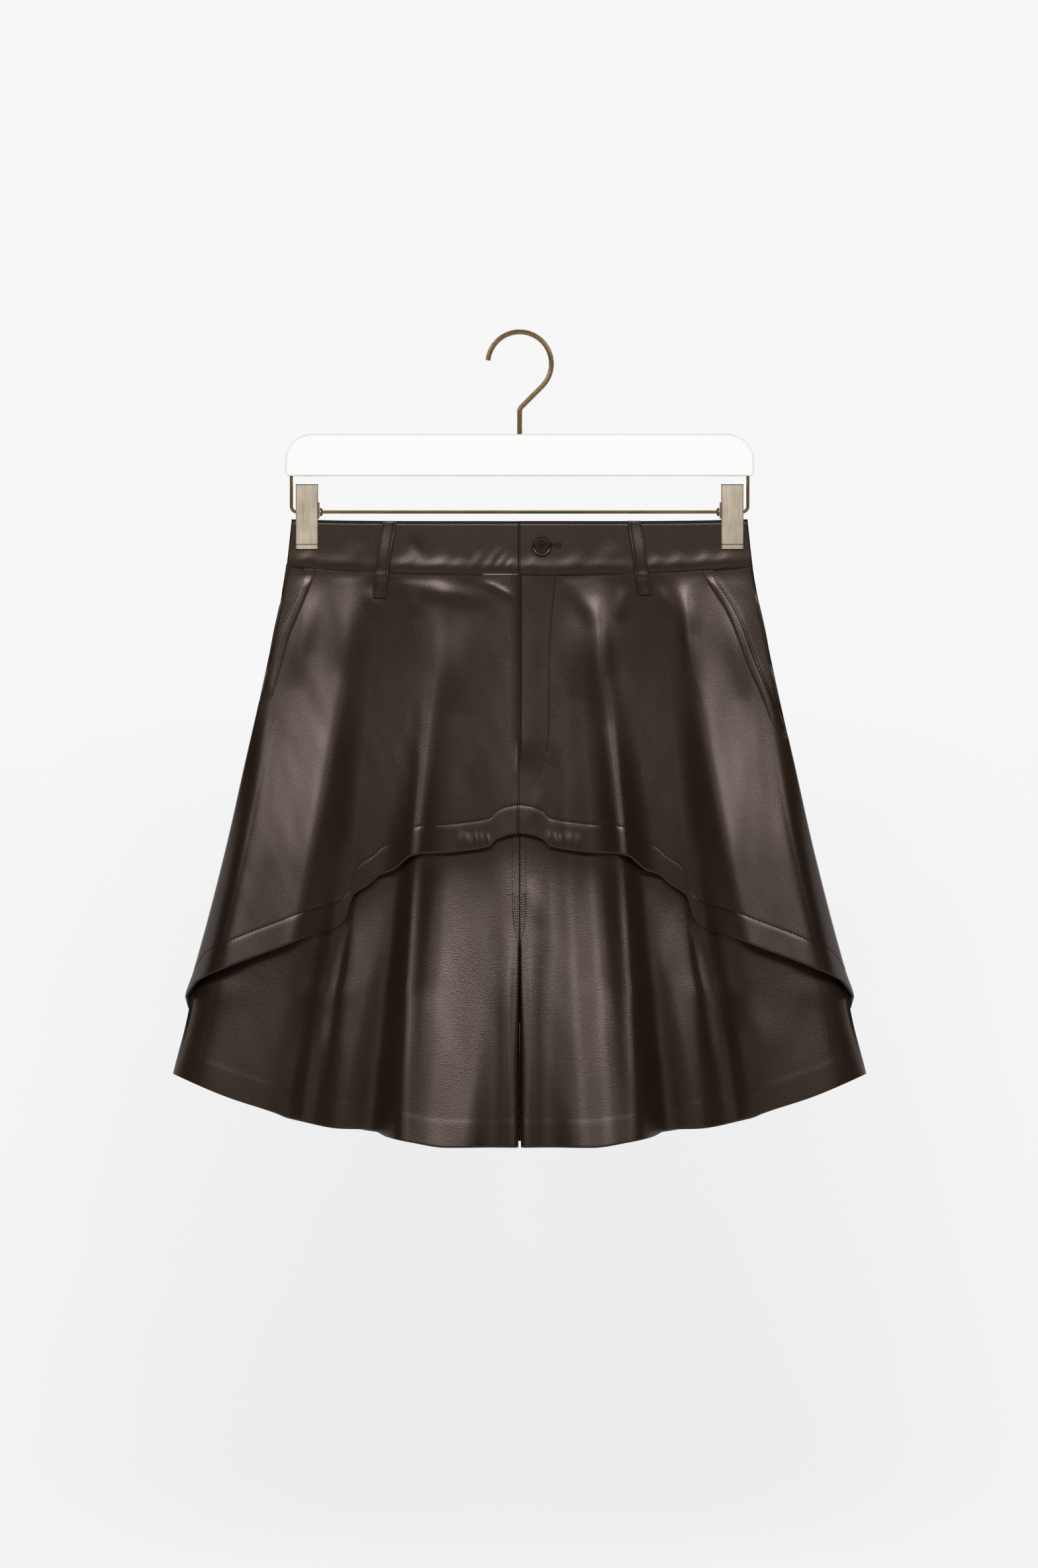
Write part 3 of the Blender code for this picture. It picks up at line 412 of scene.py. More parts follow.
def hide_waves(seed, shortest, longest, lean):
    """The hide's own unevenness: shallow seeded waves, longer down the hang than across."""
    random = np.random.default_rng(seed)
    lengths = np.exp(random.uniform(math.log(shortest), math.log(longest), WAVE_COUNT))
    turn = random.normal(0.0, 0.55, WAVE_COUNT) + lean
    across_rate = 2 * math.pi * np.cos(turn) / lengths
    down_rate = 2 * math.pi * np.sin(turn) / (lengths * 1.4)
    phase = random.uniform(0.0, 2 * math.pi, WAVE_COUNT)
    heights = WAVE_SLOPE * lengths / (2 * math.pi * math.sqrt(0.5 * WAVE_COUNT))

    def at(x, z):
        total = 0.0 * (x + z)
        for k in range(WAVE_COUNT):
            total = total + heights[k] * np.sin(across_rate[k] * x + down_rate[k] * z + phase[k])
        return total

    return at


class Layer:
    """One face of the garment: its depth, folds, width, hem and small relief."""

    def __init__(self, depth, folds, hem, side, facing, inset=0.0):
        self.centre = by_level(depth)
        self.folds = fold_relief(folds)
        self.hem = by_place(hem)
        self.side = side
        self.facing = facing
        self.inset = inset
        self.relief = None

    def form(self, across, z):
        """Depth of the main form from the mid plane: flat at the waist, round and folded below."""
        below = SEAM - z
        turn = ease(below / ROUND_REACH)
        lens = (1 - turn) * clipped_lens(across) + turn * round_lens(across)
        edge = self.side + (SIDE_MEET - self.side) * turn
        grow = np.clip(below / FOLD_REACH, 0.0, FOLD_MOST)
        return edge + (self.centre(z) - edge) * lens + grow * self.folds(across, z)

    def width(self, z):
        return half_width(z) - self.inset

    def depth(self, across, z):
        made = self.form(across, z)
        if self.relief is None:
            return made
        calm = 1 - held_at_side(across)
        return made + calm * self.relief(across * self.width(z), z)

    def point(self, across, z):
        """The point of the outer face. Past 1 it turns in at the side, up to the seam."""
        wrap = SIDE_WRAP + SIDE_WRAP_ROUND * ease((SEAM - z) / ROUND_REACH)
        turned = np.clip(np.abs(across) - 1.0, 0.0, WRAPPED) / WRAPPED
        held = held_at_side(across)
        across = np.clip(across, -1.0, 1.0)
        edge = self.depth(across, z) + wrap * held
        y = self.facing * (edge + (SIDE_CLOSED - edge) * turned)
        return np.stack([across * self.width(z), y + 0 * z, z + 0 * across], axis=-1)

    def moved(self, across, z, inward):
        """The same point moved in along the face's normal."""
        step = 1e-3
        here = self.point(across, z)
        along = self.point(across + step, z) - self.point(across - step, z)
        down = self.point(across, z - 1.0) - here
        normal = np.cross(down, along) * -self.facing
        normal /= np.linalg.norm(normal, axis=-1, keepdims=True)
        return here - normal * np.reshape(inward, (-1, 1))


overlay_front = Layer(OVERLAY_FRONT_DEPTH, OVERLAY_FRONT_FOLDS, OVERLAY_FRONT_HEM, OVERLAY_SIDE, -1)
overlay_back = Layer(OVERLAY_BACK_DEPTH, OVERLAY_BACK_FOLDS, OVERLAY_BACK_HEM, OVERLAY_SIDE, 1)
front_waves = hide_waves(21, 12.0, 64.0, 0.1)
back_waves = hide_waves(22, 14.0, 70.0, -0.1)
mouth_left = by_level(POCKET_LEFT)
mouth_right = by_level(POCKET_RIGHT)
fly_row = smooth(FLY_ROW_Z[::-1], FLY_ROW_X[::-1])


def hem_relief(layer, x, z):
    """The turned-up hem stands a little proud below its stitched line."""
    stitched = layer.hem(np.abs(x) / layer.width(z)) + HEM_STITCH
    proud = HEM_PROUD * ease((stitched + 0.5 - z) / 5.0)
    dent = -HEM_DENT * np.exp(-((z - stitched) / 1.1) ** 2)
    return proud + dent


def groove(off):
    """The furrow that a tight row of stitches pulls into the leather, off millimetres away."""
    return -STITCH_FURROW * np.exp(-(off / 0.8) ** 2)


def mouth_relief(x, z):
    """A soft rounded strip along the pocket's mouth between its two rows of stitches."""
    x, z = np.broadcast_arrays(x, z)
    mouth = np.where(x < 0, mouth_left(z), mouth_right(z)) * overlay_front.width(z)
    off = mouth - np.abs(x)
    strip = MOUTH_PUFF * np.sin(math.pi * np.clip(off / MOUTH_STRIP, 0.0, 1.0)) ** 0.7
    rows = groove(off - MOUTH_ROWS[0]) + groove(off - MOUTH_ROWS[1])
    end = np.where(x < 0, POCKET_LEFT[0].z, POCKET_RIGHT[0].z)
    return (strip + rows) * ease((z - end) / MOUTH_FADE)


def fly_relief(x, z):
    """The right edge stands over the left down to the fly's end, and its rows sink in."""
    reach = 1 - ease((FLY_END + 20.0 - z) / 30.0)
    right = FLY_STEP * (1 - 0.6 * ease((x - 4.0) / 16.0)) * (1 - ease((x - 26.0) / 12.0))
    left = -FLY_STEP * (1 - ease((-x - 1.0) / 7.0))
    step = np.where(x >= RIGHT_END - 0.1, right, left) * reach
    curved = groove(x - fly_row(z)) * ease((z + 364.0) / 8.0)
    rim = np.where(x >= RIGHT_END - 0.1, FLY_RIM * np.exp(-((x - RIGHT_END - 0.6) / 1.0) ** 2), 0.0)
    edge = -FLY_RIM * np.exp(-((x - FLY_EDGE_ROW) / 0.5) ** 2)
    return step + curved + (rim + edge) * reach


def front_relief(x, z):
    soft = crease_relief(OVERLAY_FRONT_CREASES, x, z) + front_waves(x, z) + mouth_relief(x, z)
    soft = soft * ease((SEAM - z) / SEAM_CALM)
    return soft + hem_relief(overlay_front, x, z) + fly_relief(x, z)


def back_relief(x, z):
    soft = crease_relief(OVERLAY_BACK_CREASES, x, z) + back_waves(x, z)
    return soft * ease((SEAM - z) / SEAM_CALM) + hem_relief(overlay_back, x, z)


overlay_front.relief = front_relief
overlay_back.relief = back_relief


def grid_faces(rows, columns, flip=False, start=0):
    """Quads of a grid whose points are stored row after row."""
    a = (start + np.arange(rows - 1)[:, None] * columns + np.arange(columns - 1)).ravel()
    quads = np.stack([a, a + columns, a + columns + 1, a + 1], axis=-1)
    return quads[:, ::-1] if flip else quads


def unit(vectors):
    return vectors / np.maximum(np.linalg.norm(vectors, axis=-1, keepdims=True), 1e-12)


EDGE_STEPS = 3


def hide(name, points, faces, wall, finish):
    """A piece of leather from its outer face: thickened inwards, with round edges."""
    points = np.asarray(points, float).reshape(-1, 3)
    wall = np.broadcast_to(np.asarray(wall, float).ravel(), len(points))[:, None]
    corners = points[faces]
    face_normals = np.cross(corners[:, 2] - corners[:, 0], corners[:, 3] - corners[:, 1])
    centres = corners.mean(axis=1)
    normals = np.zeros_like(points)
    middles = np.zeros_like(points)
    counts = np.zeros((len(points), 1))
    for k in range(4):
        np.add.at(normals, faces[:, k], face_normals)
        np.add.at(middles, faces[:, k], centres)
        np.add.at(counts, faces[:, k], 1.0)
    normals = unit(normals)
    edges = np.concatenate([faces[:, [k, (k + 1) % 4]] for k in range(4)])
    codes = edges[:, 0] * len(points) + edges[:, 1]
    back = edges[:, 1] * len(points) + edges[:, 0]
    rim = edges[~np.isin(codes, back)]
    rim_points = np.unique(rim)
    away = points[rim_points] - middles[rim_points] / counts[rim_points]
    n = normals[rim_points]
    away = unit(away - n * np.sum(away * n, axis=-1, keepdims=True))
    radius = 0.5 * wall[rim_points]
    inner = points - normals * wall
    core = points[rim_points] - n * radius - away * radius
    rings = []
    for k in range(1, EDGE_STEPS + 1):
        angle = math.pi * k / (EDGE_STEPS + 1)
        rings.append(core + radius * (math.cos(angle) * n + math.sin(angle) * away))
    points = points.copy()
    points[rim_points] -= away * radius
    inner[rim_points] -= away * radius
    all_points = np.concatenate([points, inner] + rings)
    count = len(points)
    place = np.zeros(count, int)
    place[rim_points] = np.arange(len(rim_points))
    levels = [rim]
    for k in range(EDGE_STEPS):
        levels.append(2 * count + k * len(rim_points) + place[rim])
    levels.append(rim + count)
    all_faces = [faces, faces[:, ::-1] + count]
    for upper, lower in zip(levels, levels[1:]):
        all_faces.append(np.stack([upper[:, 1], upper[:, 0], lower[:, 0], lower[:, 1]], axis=-1))
    return solid(name, all_points, np.concatenate(all_faces), finish)


def solid(name, points, faces, finish):
    """A smooth mesh from points in millimetres."""
    mesh = bpy.data.meshes.new(name)
    mesh.from_pydata((np.asarray(points) * MM).tolist(), [], np.asarray(faces).tolist())
    mesh.shade_smooth()
    mesh.materials.append(finish)
    made = bpy.data.objects.new(name, mesh)
    bpy.context.scene.collection.objects.link(made)
    return made


def noise(tree, place, scale, detail):
    return node(tree, "ShaderNodeTexNoise", {"Vector": place, "Scale": scale, "Detail": detail})


def spread(tree, value, low=0.0, high=1.0, out_low=0.0, out_high=1.0, **settings):
    """The value taken from its own range, low to high, to another."""
    return node(tree, "ShaderNodeMapRange", {
        "Value": value, "From Min": low, "From Max": high, "To Min": out_low, "To Max": out_high,
    }, **settings)


def blend(tree, share, dark, pale):
    """The tone between two colours, given as sRGB hex, at the share of the way."""
    return node(tree, "ShaderNodeMix", {
        0: share, 6: colour(dark), 7: colour(pale),
    }, data_type="RGBA")


def coat(made, tree, surface, values):
    """Gives a material its one surface shader, and hands the material back."""
    shader = node(tree, "ShaderNodeBsdfPrincipled", values)
    tree.links.new(shader.outputs[0], surface)
    return made


def grained_leather(name, tone, pale, cell, relief, gloss):
    """Drum-dyed nappa with a pressed pebble grain: soft satin ridges between fine grooves.

    cell is the pebble's width in millimetres, and relief the depth of its grooves.
    """
    made, tree, surface = new_material(name)
    place = node(tree, "ShaderNodeTexCoord").outputs["Object"]
    # The pebbles are pulled a little longer down the hang of the leather.
    pulled = node(tree, "ShaderNodeMapping", {"Vector": place, "Scale": (1.0, 1.0, 0.72)})
    sway = noise(tree, place, 260.0, 2.0)
    swayed = node(tree, "ShaderNodeVectorMath", {
        0: sway.outputs["Color"],
        1: (0.0009, 0.0009, 0.0009),
        2: pulled.outputs[0],
    }, operation="MULTIPLY_ADD")
    pebbles = node(tree, "ShaderNodeTexVoronoi", {
        "Vector": swayed.outputs[0],
        "Scale": 1.0 / (cell * MM),
        "Randomness": 0.9,
    }, feature="DISTANCE_TO_EDGE")
    crowns = spread(tree, pebbles.outputs["Distance"], high=0.28, interpolation_type="SMOOTHSTEP")
    pores = noise(tree, place, 0.9 / (cell * MM), 4.0)
    # Broad patches where the hide was looser and the grain stands deeper.
    patches = noise(tree, place, 16.0, 3.0)
    deeper = spread(tree, patches.outputs[0], 0.3, 0.7, 0.3, 0.85)
    cut = node(tree, "ShaderNodeMath", {
        0: crowns.outputs[0], 1: deeper.outputs[0],
    }, operation="MULTIPLY")
    height = node(tree, "ShaderNodeMath", {
        0: pores.outputs[0], 1: 1.1, 2: cut.outputs[0],
    }, operation="MULTIPLY_ADD")
    bump = node(tree, "ShaderNodeBump", {
        "Height": height.outputs[0],
        "Strength": 0.8,
        "Distance": relief * MM,
    })
    dye = noise(tree, place, 9.0, 4.0)
    dyed = spread(tree, dye.outputs[0], 0.35, 0.65)
    body = blend(tree, dyed.outputs[0], tone, pale)
    # The base colour is painted darker in the grain's grooves: painted shade between the pebbles.
    grooves = spread(tree, crowns.outputs[0], out_low=0.8)
    shaded = node(tree, "ShaderNodeMix", {
        0: 1.0, 6: body.outputs[2], 7: grooves.outputs[0],
    }, data_type="RGBA", blend_type="MULTIPLY")
    dull = spread(tree, height.outputs[0], high=1.6, out_low=gloss + 0.13, out_high=gloss)
    return coat(made, tree, surface, {
        "Base Color": shaded.outputs[2],
        "Roughness": dull.outputs[0],
        "Normal": bump.outputs[0],
        "IOR": 1.5,
        "Specular Tint": colour("#f3ddd2"),
    })


# Upper panels: the grain is finer, about 1 mm, and the finish a touch smoother.
overlay_leather = grained_leather("smooth_brown_nappa", "#1d140d", "#231911", 1.05, 0.028, 0.215)


def hem_rows(top, hem, rows):
    """Heights down each column, close together at the stitched line and the fold."""
    stitched = hem + HEM_STITCH
    heights = [top + (stitched + 2.5 - top) * t for t in np.linspace(0.0, 1.0, rows)]
    heights += [stitched + off for off in (1.6, 0.9, 0.3, -0.3, -0.9, -1.6, -2.4, -3.4)]
    heights += [stitched - 4.6 + (hem - stitched + 4.6) * t for t in np.linspace(0.0, 1.0, 11)]
    return heights, [PANEL_WALL] * rows + [HEM_WALL] * 19


def overlay_front_piece(side, sign, mouth_rows):
    mouth = by_level(mouth_rows)
    columns = np.concatenate([
        np.linspace(0.0, 0.02, 15),
        np.linspace(0.02, 0.1, 12)[1:],
        np.linspace(0.1, 0.155, 26)[1:],
        np.linspace(0.155, 0.54, 58)[1:],
        np.linspace(0.54, 0.562, 7)[1:],
        np.linspace(0.562, WRAP_FROM, 50)[1:],
        np.linspace(WRAP_FROM, 1.0, 34)[1:],
        [1.0 + WRAPPED],
    ])
    lean = np.maximum(0.0, columns - POCKET_SPREAD) / (columns[-1] - POCKET_SPREAD)

    def place_at(z):
        reach = np.where(z > mouth_rows[0].z, mouth(z), columns[-1])
        return columns - lean * (columns[-1] - reach)

    top = seam_height(place_at(SEAM)) + SEAM_TUCK
    heights, weights = hem_rows(top, overlay_front.hem(columns), 112)
    points = []
    walls = []
    for z, wall in zip(heights, weights):
        row = overlay_front.point(sign * place_at(z), z)
        row[0, 0] = RIGHT_END if sign > 0 else RIGHT_END - CLOSED
        points.append(row)
        walls.append(np.full(len(columns), wall))
    faces = grid_faces(len(heights), len(columns), flip=sign < 0)
    made = hide(f"overlay_front_{side}_leather", points, faces, np.concatenate(walls), overlay_leather)
    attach(made, "root")
    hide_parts(f"overlay_front_{side}")


overlay_front_piece("left", -1, POCKET_LEFT)
overlay_front_piece("right", 1, POCKET_RIGHT)

right_columns = np.concatenate([
    np.linspace(0.0, WRAP_FROM, 96),
    np.linspace(WRAP_FROM, 1.0, 14)[1:],
    [1.0 + WRAPPED],
])
back_columns = np.concatenate([-right_columns[:0:-1], right_columns])
heights, weights = hem_rows(
    seam_height(back_columns) + SEAM_TUCK, overlay_back.hem(np.abs(back_columns)), 120
)
back_points = [overlay_back.point(back_columns, z) for z in heights]
back_walls = np.repeat(weights, len(back_columns))
overlay_back_leather = hide(
    "overlay_back_leather",
    back_points,
    grid_faces(len(heights), len(back_columns), flip=True),
    back_walls,
    overlay_leather,
)
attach(overlay_back_leather, "root")
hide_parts("overlay_back")


def stitch_tree():
    """Geometry nodes that lay one short thread after another along each path."""
    tree = bpy.data.node_groups.new("thread_along_path", "GeometryNodeTree")
    face = tree.interface
    face.new_socket("Geometry", in_out="INPUT", socket_type="NodeSocketGeometry")
    for label, start in (("Pitch", 0.0027), ("Length", 0.002), ("Thickness", 0.0005)):
        socket = face.new_socket(label, in_out="INPUT", socket_type="NodeSocketFloat")
        socket.default_value = start
    face.new_socket("Seed", in_out="INPUT", socket_type="NodeSocketInt")
    face.new_socket("Thread", in_out="INPUT", socket_type="NodeSocketMaterial")
    face.new_socket("Geometry", in_out="OUTPUT", socket_type="NodeSocketGeometry")
    given = node(tree, "NodeGroupInput")
    path = node(tree, "GeometryNodeMeshToCurve", {"Mesh": given.outputs["Geometry"]})
    spaced = node(tree, "GeometryNodeResampleCurve", {"Curve": path.outputs[0]})
    spaced.mode = "LENGTH"
    tree.links.new(given.outputs["Pitch"], spaced.inputs["Length"])
    heading = node(tree, "GeometryNodeInputTangent")
    turn = node(tree, "FunctionNodeAlignRotationToVector", {"Vector": heading.outputs[0]}, axis="X")
    thread = node(tree, "GeometryNodeMeshUVSphere", {"Segments": 6, "Rings": 4, "Radius": 0.5})
    size = node(tree, "ShaderNodeCombineXYZ", {
        0: given.outputs["Length"],
        1: given.outputs["Thickness"],
        2: given.outputs["Thickness"],
    })
    uneven = node(tree, "FunctionNodeRandomValue", {"Seed": given.outputs["Seed"]}, data_type="FLOAT")
    uneven.inputs[2].default_value = 0.85
    uneven.inputs[3].default_value = 1.1
    scale = node(tree, "ShaderNodeVectorMath", {
        0: size.outputs[0],
        "Scale": uneven.outputs[1],
    }, operation="SCALE")
    laid = node(tree, "GeometryNodeInstanceOnPoints", {
        "Points": spaced.outputs[0],
        "Instance": thread.outputs["Mesh"],
        "Rotation": turn.outputs[0],
        "Scale": scale.outputs[0],
    })
    real = node(tree, "GeometryNodeRealizeInstances", {"Geometry": laid.outputs[0]})
    dressed = node(tree, "GeometryNodeSetMaterial", {
        "Geometry": real.outputs[0],
        "Material": given.outputs["Thread"],
    })
    node(tree, "NodeGroupOutput", {"Geometry": dressed.outputs[0]})
    return tree


thread_along_path = stitch_tree()


def sewing_thread(name, dark, pale):
    """Matt sewing thread, its brown uneven along the fine twist."""
    made, tree, surface = new_material(name)
    place = node(tree, "ShaderNodeTexCoord").outputs["Object"]
    twist = noise(tree, place, 2500.0, 2.0)
    tone = blend(tree, twist.outputs[0], dark, pale)
    bump = node(tree, "ShaderNodeBump", {
        "Height": twist.outputs[0], "Strength": 0.4, "Distance": 0.0001,
    })
    return coat(made, tree, surface, {
        "Base Color": tone.outputs[2], "Roughness": 0.75, "Normal": bump.outputs[0],
        "Specular IOR Level": 0.2,
    })


# This thread is dark brown, painted nearer black as painted shade of the furrows its stitches lie in.
thread = sewing_thread("dark_brown_thread_with_painted_groove_shade", "#050403", "#0e0a08")


def sew(name, paths, pitch=2.7, length=2.1, thickness=0.5, seed=1, thread=thread):
    """Rows of stitches along paths of points in millimetres, as one plain mesh."""
    points = np.concatenate(paths) * MM
    edges = []
    start = 0
    for path in paths:
        edges += [(start + i, start + i + 1) for i in range(len(path) - 1)]
        start += len(path)
    mesh = bpy.data.meshes.new(name + "_path")
    mesh.from_pydata(points.tolist(), edges, [])
    made = bpy.data.objects.new(name, mesh)
    bpy.context.scene.collection.objects.link(made)
    modifier = made.modifiers.new("thread", "NODES")
    modifier.node_group = thread_along_path
    values = {
        "Pitch": pitch * MM, "Length": length * MM, "Thickness": thickness * MM,
        "Seed": seed, "Thread": thread,
    }
    for socket in thread_along_path.interface.items_tree:
        if socket.in_out == "INPUT" and socket.name in values:
            modifier[socket.identifier] = values[socket.name]
    bpy.context.view_layer.update()
    graph = bpy.context.evaluated_depsgraph_get()
    result = bpy.data.meshes.new_from_object(made.evaluated_get(graph))
    made.modifiers.remove(modifier)
    made.data = result
    result.name = name
    result.shade_smooth()
    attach(made, "root")
    return made


def path_on(layer, x, z, lift=0.05, steps=80):
    """A path over a layer's outer face through the given points, each set as x and z."""
    x = np.asarray(x, float)
    z = np.asarray(z, float)
    run = np.concatenate([[0.0], np.cumsum(np.hypot(np.diff(x), np.diff(z)))])
    at = np.linspace(0.0, run[-1], steps)
    px = smooth(run, x)(at)
    pz = smooth(run, z)(at)
    across = px / layer.width(pz)
    points = layer.point(across, pz)
    points[:, 1] += layer.facing * lift
    return points


# Hem, pocket mouths and fly are sewn in dark brown thread.
hem_paths = []
for low, high in ((-0.998, -0.556), (-0.546, -0.004), (0.002, 0.546), (0.556, 0.998)):
    across = np.linspace(low, high, 160)
    z = overlay_front.hem(np.abs(across)) + HEM_STITCH
    line = overlay_front.point(across, z)
    line[:, 1] -= 0.05
    hem_paths.append(line)
across = np.linspace(-0.995, 0.995, 400)
line = overlay_back.point(across, overlay_back.hem(np.abs(across)) + HEM_STITCH)
hem_paths.append(line)
sew("overlay_hem_stitches", hem_paths, pitch=3.0, length=2.3, thickness=0.8)

mouth_paths = []
for sign, rows, ends in ((-1, POCKET_LEFT, (-290.0, -294.0)), (1, POCKET_RIGHT, (-318.0, -312.0))):
    mouth = by_level(rows)
    for inset, end in zip(MOUTH_ROWS, ends):
        z = np.linspace(SEAM + 2.0, end, 60)
        x = sign * (mouth(z) * overlay_front.width(z) - inset)
        mouth_paths.append(path_on(overlay_front, x, z, steps=120))
sew("pocket_mouth_stitches", mouth_paths, pitch=2.6, length=2.0, thickness=0.65)

fly_paths = [
    path_on(overlay_front, FLY_ROW_X, FLY_ROW_Z, steps=140),
    path_on(overlay_front, [FLY_EDGE_ROW] * 3, [-199.0, -270.0, -347.0], steps=100),
]
sew("fly_stitches", fly_paths, pitch=2.6, length=2.0, thickness=0.6)

# --- Hips ---------------------------------------------------------------------------------
# The piece behind each slanted pocket mouth, of the same nappa. Its edge is caught in the
# waist and side seams, and the pocket bag hangs unseen behind it.

HIP_INSET = 1.6
HIP_INSET_ROUND = 1.0
HIP_UNDER = 0.10
HIP_DROP = 40.0


def hip_piece(side, sign, mouth_rows):
    mouth = by_level(mouth_rows)
    end = mouth_rows[0].z
    points = []
    shares = np.concatenate([np.linspace(0.0, 0.8, 14), np.linspace(0.8, 1.0, 10)[1:]])
    rows = 50
    for part in np.linspace(0.0, 1.0, rows):
        top = float(seam_height(1.0)) + SEAM_TUCK
        z = top + (end - HIP_DROP - top) * part
        inner = float(mouth(z)) - HIP_UNDER
        across = inner + (1.0 + WRAPPED - inner) * shares
        level = np.minimum(z, seam_height(across) + SEAM_TUCK)
        inward = HIP_INSET + HIP_INSET_ROUND * ease((SEAM - level) / ROUND_REACH)
        points.append(overlay_front.moved(sign * across, level, inward))
    faces = grid_faces(rows, len(shares), flip=sign < 0)
    made = hide(f"hip_{side}_leather", points, faces, PANEL_WALL, overlay_leather)
    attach(made, "root")
    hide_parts(f"hip_{side}")


hip_piece("left", -1, POCKET_LEFT)
hip_piece("right", 1, POCKET_RIGHT)

# --- Legs --------------------------------------------------------------------------------
# Two front and two back panels of pebbled brown nappa about 1 mm thick, seamed at the centre,
# the sides and the inside leg, under the overlay. The hem is cut clean and glued up inside.

GAP = 0.3
SHORTS_SIDE = 1.15
SHORTS_INSET = 4.3
CLEAR_GROWTH = 4.0
CLEAR_REACH = 110.0
CLEAR_RELEASE = 8.0
CLEAR_SLACK = 0.175
CLEAR_EASE = 38.0
PRESS_SOFT = 4.5
PRESS_REACH = 60.0
CROTCH = -501.0
CROTCH_SINK = 14.0
LEG_ROUND_TOP = 2.0
LEG_ROUND = 5.0
LEG_ROUND_REACH = 110.0
LEG_PART = 1.0
LEG_PART_BACK = 0.005
LEG_INNER = 0.056
LEG_EDGE_X = (9.0, 7.4, 6.0, 4.8, 3.6, 2.7, 1.9, 1.45)
LEG_GLUED_HEM = 24.0
LEG_HEM_STEP = 0.12
SEAM_ROW_LEFT = -5.9
SEAM_ROW_RIGHT = 4.9
SEAM_ROW_TOP = -400.0
BAR_TOP_Z = -455.0
BAR_LOW_Z = -499.0

SHORTS_FRONT_DEPTH = table(Level,
    (-662, 34.5), (-604, 31.3), (-551, 27.8), (-470, 23.4), (-400, 20.4), (-320, 16.5), (-250, 12),
    (-197, 7.4),
)
SHORTS_BACK_DEPTH = table(Level,
    (-662, 34), (-562, 28), (-470, 26), (-400, 23.5), (-320, 19.5), (-250, 13), (-197, 7.4),
)
SHORTS_FRONT_FOLDS = table(Fold,
    (0, 0, 4, 4), (0.03, 0.03, 8, 8), (0.07, 0.07, -1, -1.5), (0.11, 0.12, 6, 5),
    (0.145, 0.15, 11.5, 11), (0.2, 0.21, 14.5, 14), (0.25, 0.26, 14, 13.5), (0.29, 0.3, 12, 11.5),
    (0.335, 0.335, 9, 8.5), (0.37, 0.37, 0, 0), (0.41, 0.405, -19, -19), (0.44, 0.435, -13, -13),
    (0.5, 0.5, -5, -4), (0.55, 0.555, -12, -12), (0.595, 0.6, -20, -20), (0.635, 0.64, -4, -4),
    (0.68, 0.69, 3, 3), (0.75, 0.76, 6, 6), (0.84, 0.84, 9, 9), (0.93, 0.93, 7.5, 7.5), (1, 1, 0, 0),
)
SHORTS_BACK_FOLDS = table(Fold,
    (0, 0, 3, 3), (0.035, 0.035, 4, 4), (0.1, 0.1, -5, -4.5), (0.24, 0.25, 9, 8.5),
    (0.38, 0.38, -9, -9), (0.52, 0.51, 8, 8.5), (0.65, 0.65, -6, -6.5), (0.78, 0.78, 7, 7),
    (0.9, 0.9, 3, 3), (1, 1, 0, 0),
)
SHORTS_FRONT_HEM = table(Place,
    (0, -662), (0.2, -662), (0.308, -657.2), (0.371, -653.4), (0.413, -648.5), (0.511, -647),
    (0.647, -638.8), (0.684, -634.5), (0.827, -621.5), (1, -603),
)
SHORTS_BACK_HEM = table(Place,
    (0, -658), (0.3, -654), (0.6, -641), (0.827, -620), (1, -603),
)
SHORTS_FRONT_CREASES = table(Crease,
    (9, -440, 17, -486, 5.5, 0.9), (15, -450, 9, -580, 4.5, 0.9), (-10, -470, -12, -600, 4.5, 0.8),
    (10.5, -500, 11.5, -655, 4, 1.2), (-9.5, -500, -10.5, -655, 4, 1.2),
    (-150, -560, -185, -600, 14, 0.7), (172, -548, 214, -590, 15, 0.8), (-66, -530, -84, -640, 17, 0.6),
    (70, -525, 88, -640, 18, 0.6),
)
SHORTS_BACK_CREASES = table(Crease,
    (-14, -572, -20, -610, 5, 1), (15, -570, 22, -612, 5, 1), (-120, -575, -160, -620, 13, 1.1),
    (118, -580, 158, -624, 14, 1),
)


class CoveredLayer(Layer):
    """A layer pressed in by the one that covers it, which swells out again past that one's hem."""

    def __init__(self, depth, folds, hem, side, facing, inset, cover):
        super().__init__(depth, folds, hem, side, facing, inset)
        self.cover = cover

    def form(self, across, z):
        free = super().form(across, z)
        over = self.cover
        hem = over.hem(np.abs(across))
        level = np.maximum(z, hem)
        clear = over.side - self.side + CLEAR_GROWTH * ease((SEAM - z) / CLEAR_REACH)
        fall = np.maximum(0.0, hem - CLEAR_RELEASE - z)
        slack = CLEAR_SLACK * fall ** 2 / (fall + CLEAR_EASE)
        limit = over.form(across, level) - clear + slack
        soft = PRESS_SOFT * ease((SEAM - z) / PRESS_REACH) + 1e-3
        pressed = soft * np.logaddexp(0.0, (free - limit) / soft)
        floor = SIDE_MEET + (self.side - SIDE_MEET) * (1 - held_at_side(across))
        return np.maximum(free - pressed, floor)


shorts_front = CoveredLayer(
    SHORTS_FRONT_DEPTH, SHORTS_FRONT_FOLDS, SHORTS_FRONT_HEM, SHORTS_SIDE, -1, SHORTS_INSET, overlay_front
)
shorts_back = CoveredLayer(
    SHORTS_BACK_DEPTH, SHORTS_BACK_FOLDS, SHORTS_BACK_HEM, SHORTS_SIDE, 1, SHORTS_INSET, overlay_back
)


def shorts_relief(layer, creases, seed):
    """Creases, the hide's unevenness, and the faint step where the hem is glued up inside."""
    waves = hide_waves(seed, 14.0, 70.0, 0.0)

    def at(x, z):
        turn = layer.hem(np.abs(x) / layer.width(z)) + LEG_GLUED_HEM
        return crease_relief(creases, x, z) + waves(x, z) + LEG_HEM_STEP * ease((turn - z) / 5.0)

    return at


shorts_front.relief = shorts_relief(shorts_front, SHORTS_FRONT_CREASES, 11)
shorts_back.relief = shorts_relief(shorts_back, SHORTS_BACK_CREASES, 12)

